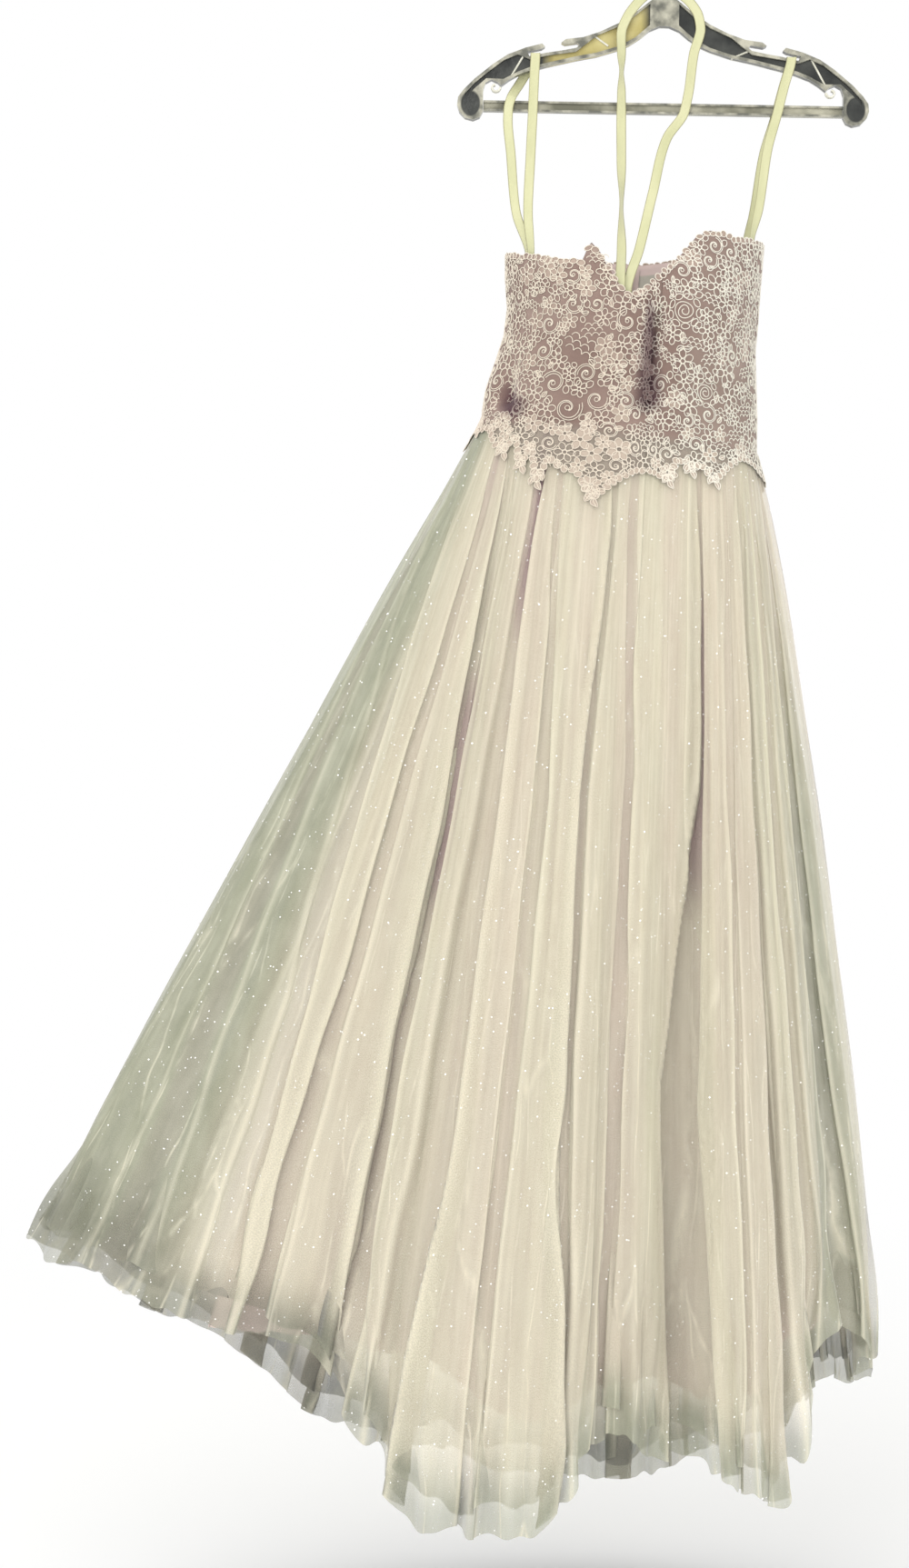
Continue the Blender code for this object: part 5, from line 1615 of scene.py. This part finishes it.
class GOWN_OT_tulle(bpy.types.Operator):
    """Make the two layers of gathered tulle, front and back"""

    bl_idname = "gown.tulle"
    bl_label = "Tulle Skirt"

    def execute(self, context):
        sizes = context.scene.gown
        colours = (tuple(sizes.tulle_colour), tuple(sizes.blush_colour), tuple(sizes.sheer_shade_colour))
        outer = tulle_material("outer tulle", *colours, hollow_shade_colour=(0.36, 0.20, 0.24), cover=0.40)
        under = tulle_material("under tulle", *colours, hollow_shade_colour=(0.36, 0.20, 0.26), cover=0.40)
        # The inner back layer is a darker copy of the tulle: painted shade inside the skirt.
        shaded = tulle_material("inner back tulle", colours[0], colours[1],
                                sheer_shade_colour=(0.22, 0.23, 0.18), hollow_shade_colour=(0.30, 0.20, 0.24), cover=0.44)
        under_paint = {"front": under, "back": shaded}
        for place, (first, last) in SIDES.items():
            settings = settings_for(place, seed=21, strength=0.9, inset=0.15, stand_off=0.3,
                                    flat_width=2.6, hem_lift=5.0)
            points, tone, flat_map = skirt_layer(first, last, *OUTER_GRID[place], TULLE_HEM, settings)
            piece = shell(f"skirt_tulle_{place}_cloth", points, tone, flat_map, outer)
            finish_piece(piece, "tulle", f"skirt_tulle_{place}")
            settings = settings_for(place, seed=31, strength=0.5, inset=1.0, stand_off=9.0,
                                    flat_width=2.6, hem_lift=7.0, lift=26.0)
            points, tone, flat_map = skirt_layer(first, last, *UNDER_GRID, TULLE_HEM, settings)
            piece = shell(f"skirt_tulle_{place}_under", points, tone, flat_map, under_paint[place])
            finish_piece(piece, "tulle")
        return {"FINISHED"}


def panel_form(angles):
    """Grid of a bodice panel's form, from the neckline down over the top of the skirt."""
    neck = straight_round(NECKLINE, 1, angles) - waist_height(angles)
    drop = straight_round(LACE_EDGE, 1, angles)
    hem = smooth_round(TULLE_HEM, 3, angles)
    rows = []
    for share in np.linspace(1.0, 0.0, ROWS_ABOVE):
        rows.append(bodice_form(angles, waist_height(angles) + neck * share)[0])
    for share in np.linspace(0.0, 1.0, ROWS_BELOW + 1)[1:]:
        below = drop * share / (waist_height(angles) - hem)
        rows.append(skirt_form(angles, below, TULLE_HEM, 0.0))
    return np.array(rows)


def panel_tone(angles, heights, above):
    """Tone of a bodice panel: its share of painted shade in the side pinch, its depth below the neckline,
    pale share and cover.
    """
    # Painted shade in the side pinch.
    pinch_shade = (bell(angles, 209.5, 6.5) * bell(above, 22.0, 15.0)
            + bell(angles, 217.0, 4.5) * bell(above, 8.0, 11.0))
    depth_below = straight_round(NECKLINE, 1, angles) - heights
    # Paler at the right front, less so higher up, and below the waist.
    pale = 0.35 * smooth_step((angles - 285.0) / 20.0) * (1.0 - 0.5 * smooth_step((above - 60.0) / 80.0))
    pale = np.maximum(pale, smooth_step(-above / 12.0))
    cover = 1.0 - 0.62 * smooth_step((-above - 1.0) / 12.0)
    return np.stack([np.clip(pinch_shade, 0.0, 1.0), np.clip(depth_below / 100.0, 0.0, 1.0), pale, cover], axis=-1)


class GOWN_OT_bodice(bpy.types.Operator):
    """Make the four bodice panels, their lace ground outside and facing inside"""

    bl_idname = "gown.bodice"
    bl_label = "Bodice Panels"

    def execute(self, context):
        ground = ground_material("lace ground", tuple(context.scene.gown.base_colour))
        facing = facing_material("bodice facing")
        for name, (first, last) in PANELS.items():
            columns = int((last - first) / PANEL_STEP) + 1
            angles = np.linspace(first + PANEL_GAP, last - PANEL_GAP, columns)
            form = panel_form(angles)
            outward = outward_of(form)
            above = form[..., 2] - waist_height(angles)
            outside = stand_out(above)
            inside = np.minimum(BODICE_INSIDE, outside - 0.6)
            piece = lined_sheet(f"bodice_{name}_cloth", form + outward * outside[..., None],
                                form + outward * inside[..., None], ground, facing)
            tone = panel_tone(angles, form[..., 2], above)
            set_tone(piece.data, np.concatenate([tone, tone]))
            finish_piece(piece, "lace", f"bodice_{name}")
        return {"FINISHED"}


class GOWN_OT_lace(bpy.types.Operator):
    """Make the corded lace: its filled shapes and its cords"""

    bl_idname = "gown.lace"
    bl_label = "Corded Lace"

    def execute(self, context):
        sizes = context.scene.gown
        cord_paint = cord_material("lace cord", tuple(sizes.lace_colour))
        fill_paint = fill_material("lace filling", tuple(sizes.lace_colour))
        tree = cord_tree()
        lines, fills = lace_motifs(LACE_SEED)
        sorted_lines = {name: [] for name in PANELS}
        sorted_fills = {name: [] for name in PANELS}
        for flat, closed in lines:
            points = lace_surface(flat[:, 0] % lace_round[-1], flat[:, 1], CORD_PROUD)
            sorted_lines[panel_at(flat[:, 0].mean())].append((points, closed))
        for flat in fills:
            sorted_fills[panel_at(flat[:, 0].mean())].append(flat)
        for name in PANELS:
            points, closed = zip(*sorted_lines[name])
            source = curve_of(f"{name}_lines", points, closed)
            piece = baked(source, tree, f"lace_cords_{name}", Radius=sizes.cord / 2,
                          Spacing=CORD_SPACING * MM, Sides=4, Material=cord_paint)
            finish_piece(piece, "lace")
            vertices, faces = [], []
            for flat in sorted_fills[name]:
                centre = flat.mean(axis=0)
                rim = lace_surface(flat[:, 0] % lace_round[-1], flat[:, 1], FILL_EDGE_PROUD)
                middle = lace_surface(centre[:1] % lace_round[-1], centre[1:], FILL_MIDDLE_PROUD)
                start = len(vertices)
                vertices.extend(rim)
                vertices.append(middle[0])
                count = len(flat)
                faces.extend((start + place, start + (place + 1) % count, start + count)
                             for place in range(count))
            mesh = bpy.data.meshes.new(f"lace_filling_{name}")
            mesh.from_pydata(np.array(vertices) * MM, [], faces)
            mesh.shade_smooth()
            piece = link_mesh(f"lace_filling_{name}", mesh, fill_paint)
            face_outward(piece)
            finish_piece(piece, "lace")
        return {"FINISHED"}


class GOWN_OT_ribbons(bpy.types.Operator):
    """Make the three hanging ribbons"""

    bl_idname = "gown.ribbons"
    bl_label = "Hanging Ribbons"

    def execute(self, context):
        material = ribbon_material("satin ribbon", tuple(context.scene.gown.ribbon_colour))
        for name in LOOP_RUNS:
            middle, width, face = ribbon_path(name)
            lengths = np.concatenate([[0.0], np.cumsum(np.linalg.norm(np.diff(middle, axis=0), axis=-1))])
            across = np.linspace(-0.5, 0.5, 7)
            cup = 0.28 * (4.0 * across ** 2 - 0.5)
            outer = (middle[:, None] + width[:, None] * across[None, :, None] * RIBBON_WIDTH
                     + face[:, None] * (cup[None, :, None] + RIBBON_THICK / 2))
            inner = outer - face[:, None] * RIBBON_THICK
            piece = lined_sheet(f"{name}_ribbon", outer, inner, material)
            flat_map = np.stack(np.meshgrid(across * RIBBON_WIDTH * MM, lengths * MM), axis=-1)
            lay_flat(piece.data, np.tile(flat_map.reshape(-1, 2), (2, 1)))
            finish_piece(piece, "ribbon", name)
        return {"FINISHED"}


class GOWN_OT_zip(bpy.types.Operator):
    """Make the closed zip: its tape, coil, slider and puller"""

    bl_idname = "gown.zip"
    bl_label = "Back Zip"

    def execute(self, context):
        heights = np.linspace(ZIP_TOP, ZIP_FOOT, 60)
        half_turn = math.degrees(ZIP_WIDTH / 2 / (WAIST_HALF_WIDTH - ZIP_SEAT))
        angles = ZIP_ANGLE + np.linspace(-1.0, 1.0, 9) * half_turn
        rows = []
        for height in heights:
            ring, outward = bodice_form(angles, waist_height(angles) + height)
            rows.append(ring - outward * (ZIP_SEAT + 0.5))
        points = np.array(rows)
        half_width = ZIP_WIDTH / 2 * MM
        flat_map = np.stack(np.meshgrid(np.linspace(-half_width, half_width, 9), heights * MM), axis=-1)
        tape = shell("zip_tape", points, np.ones((*points.shape[:2], 4)), flat_map, tape_material("zip tape"))
        finish_piece(tape, "zip", "back_zip")
        turns = np.linspace(0.0, 1.0, COIL_POINTS)
        heights = waist_height(ZIP_ANGLE) + ZIP_TOP - 2.0 - turns * COIL_LENGTH
        ring, outward = bodice_form(np.full(COIL_POINTS, ZIP_ANGLE), heights)
        spin = turns * 2 * math.pi * COIL_TURNS
        coil = ring - outward * (ZIP_SEAT + 2.0 + 0.9 * np.sin(spin))[:, None]
        coil[:, 0] += 2.1 * np.cos(spin)
        source = curve_of("zip_coil_line", [coil], [False])
        piece = baked(source, cord_tree(), "zip_coil", Radius=0.35 * MM, Spacing=0.9 * MM, Sides=4,
                      Material=coil_material("zip coil"))
        finish_piece(piece, "zip")
        angle = np.array([ZIP_ANGLE])
        ring, outward = bodice_form(angle, waist_height(angle) + SLIDER_MIDDLE)
        seat = ring[0] - outward[0] * (ZIP_SEAT + 3.4)
        metal = slider_material("zip slider")
        plate_with_bevel("zip_slider", seat, SLIDER_OUTLINE, SLIDER_THICK, metal)
        seat = seat + np.array([0.0, -PULLER_STAND_OUT, 0.0])
        plate_with_bevel("zip_puller", seat, PULLER_OUTLINE, PULLER_THICK, metal)
        return {"FINISHED"}


class GOWN_OT_hanger(bpy.types.Operator):
    """Paint the moulded hanger and its hook, and add its ribs and curls"""

    bl_idname = "gown.hanger"
    bl_label = "Hanger"

    def execute(self, context):
        for name, material in (
            ("hanger_body", moulded_material("smoky moulding", True)),
            ("hanger_bar", moulded_material("bar moulding", False)),
            ("hanger_hook", wire_material("hook wire")),
        ):
            materials = frame["nodes"][name].data.materials
            materials.clear()
            materials.append(material)
        lines = []
        shares = np.linspace(0.0, 1.0, 8)
        for (first_x, first_z), (last_x, last_z) in ARM_RIBS:
            x, z = hanger_place(first_x + (last_x - first_x) * shares, first_z + (last_z - first_z) * shares)
            for face in (-1.0, 1.0):
                lines.append(np.stack([x, np.full(len(x), face * (HANGER_WEB / 2 + 0.4)), z], axis=-1))
        shares = np.linspace(0.0, 1.0, 26)
        spin = math.pi * (1.0 + 1.5 * shares)
        reach = CURL_REACH[0] + (CURL_REACH[1] - CURL_REACH[0]) * shares
        curl = spiral(CURL_PLACE, spin, reach)
        for side in (-1.0, 1.0):
            x, z = hanger_place(side * curl[:, 0], curl[:, 1])
            for depth in CURL_DEPTHS:
                lines.append(np.stack([x, np.full(len(x), depth), z], axis=-1))
        source = curve_of("hanger_rib_lines", lines, [False] * len(lines))
        piece = baked(source, cord_tree(), "hanger_ribs", Radius=RIB_RADIUS * MM, Spacing=1.2 * MM, Sides=8,
                      Material=rim_highlight_material("moulded rim highlight"))
        finish_piece(piece, "hanger")
        return {"FINISHED"}


class GOWN_OT_sparkle(bpy.types.Operator):
    """Scatter glitter over the outer tulle"""

    bl_idname = "gown.sparkle"
    bl_label = "Glitter"

    def execute(self, context):
        material = glitter_material("glitter")
        scatter = sparkle_tree()
        for place, cut in TULLE_CUT.items():
            cloth = bpy.data.objects[f"skirt_tulle_{place}_cloth"]
            density = context.scene.gown.sparkles / 2.0 / cut
            piece = baked(cloth, scatter, f"glitter_{place}", remove_source=False, Density=density,
                          Size=SPARKLE_RADIUS * MM, Seed=4, Material=material)
            finish_piece(piece, "tulle")
        return {"FINISHED"}


def floor_disc():
    """A flat disc of rings round the foot of the gown."""
    spokes = np.arange(FLOOR_SPOKES) * 2 * math.pi / FLOOR_SPOKES
    vertices = [(WAIST_CENTRE_X * MM + ring * math.cos(spoke), ring * math.sin(spoke), FLOOR_LEVEL)
                for ring in FLOOR_RINGS for spoke in spokes]
    faces = []
    for ring in range(len(FLOOR_RINGS) - 1):
        for spoke in range(FLOOR_SPOKES):
            inner, outer = ring * FLOOR_SPOKES, (ring + 1) * FLOOR_SPOKES
            after = (spoke + 1) % FLOOR_SPOKES
            faces.append((inner + spoke, outer + spoke, outer + after, inner + after))
    mesh = bpy.data.meshes.new("floor")
    mesh.from_pydata(vertices, [], faces)
    return mesh


class GOWN_OT_stage(bpy.types.Operator):
    """Make the floor, the lights and the camera"""

    bl_idname = "gown.stage"
    bl_label = "Stage"

    def execute(self, context):
        scene = context.scene
        link_mesh("floor", floor_disc(), floor_material("pale paper"))
        world = bpy.data.worlds.new("studio")
        world.use_nodes = True
        background = world.node_tree.nodes["Background"]
        background.inputs["Color"].default_value = (1.0, 1.0, 1.0, 1.0)
        background.inputs["Strength"].default_value = 1.0
        scene.world = world
        for name, place, aim, size, power in LIGHTS:
            light = bpy.data.lights.new(name, "AREA")
            light.size = size
            light.energy = power
            lamp = bpy.data.objects.new(name, light)
            lamp.location = place
            lamp.rotation_euler = (Vector(aim) - Vector(place)).to_track_quat("-Z", "Y").to_euler()
            scene.collection.objects.link(lamp)
        camera_data = bpy.data.cameras.new("camera")
        camera_data.sensor_fit = "VERTICAL"
        camera_data.angle = 2 * math.atan(CAMERA_HALF_HEIGHT / -CAMERA_PLACE[1])
        camera = bpy.data.objects.new("camera", camera_data)
        camera.location = CAMERA_PLACE
        camera.rotation_euler = (math.pi / 2, 0.0, 0.0)
        scene.collection.objects.link(camera)
        scene.camera = camera
        scene.view_settings.view_transform = "Standard"
        scene.cycles.max_bounces = 4
        scene.cycles.diffuse_bounces = 1
        scene.cycles.transparent_max_bounces = 12
        return {"FINISHED"}


class GOWN_PT_panel(bpy.types.Panel):
    """List of the gown's pieces"""

    bl_label = "Evening Gown"
    bl_idname = "GOWN_PT_panel"
    bl_space_type = "VIEW_3D"
    bl_region_type = "UI"
    bl_category = "Gown"

    def draw(self, context):
        layout = self.layout
        sizes = context.scene.gown
        for name in sizes.bl_rna.properties.keys():
            if name not in ("rna_type", "name"):
                layout.prop(sizes, name)
        for operator in OPERATORS:
            layout.operator(operator.bl_idname)


OPERATORS = (GOWN_OT_lining, GOWN_OT_tulle, GOWN_OT_sparkle, GOWN_OT_bodice, GOWN_OT_lace, GOWN_OT_zip,
             GOWN_OT_ribbons, GOWN_OT_hanger, GOWN_OT_stage)
CLASSES = (GownSettings, *OPERATORS, GOWN_PT_panel)


def register():
    """Register the classes and the gown's settings."""
    for item in CLASSES:
        bpy.utils.register_class(item)
    bpy.types.Scene.gown = PointerProperty(type=GownSettings)


def unregister():
    """Remove the settings and the classes."""
    del bpy.types.Scene.gown
    for item in reversed(CLASSES):
        bpy.utils.unregister_class(item)


def main():
    register()
    bpy.ops.gown.lining()
    bpy.ops.gown.tulle()
    bpy.ops.gown.sparkle()
    bpy.ops.gown.bodice()
    bpy.ops.gown.lace()
    bpy.ops.gown.zip()
    bpy.ops.gown.ribbons()
    bpy.ops.gown.hanger()
    bpy.ops.gown.stage()


if __name__ == "__main__":
    main()
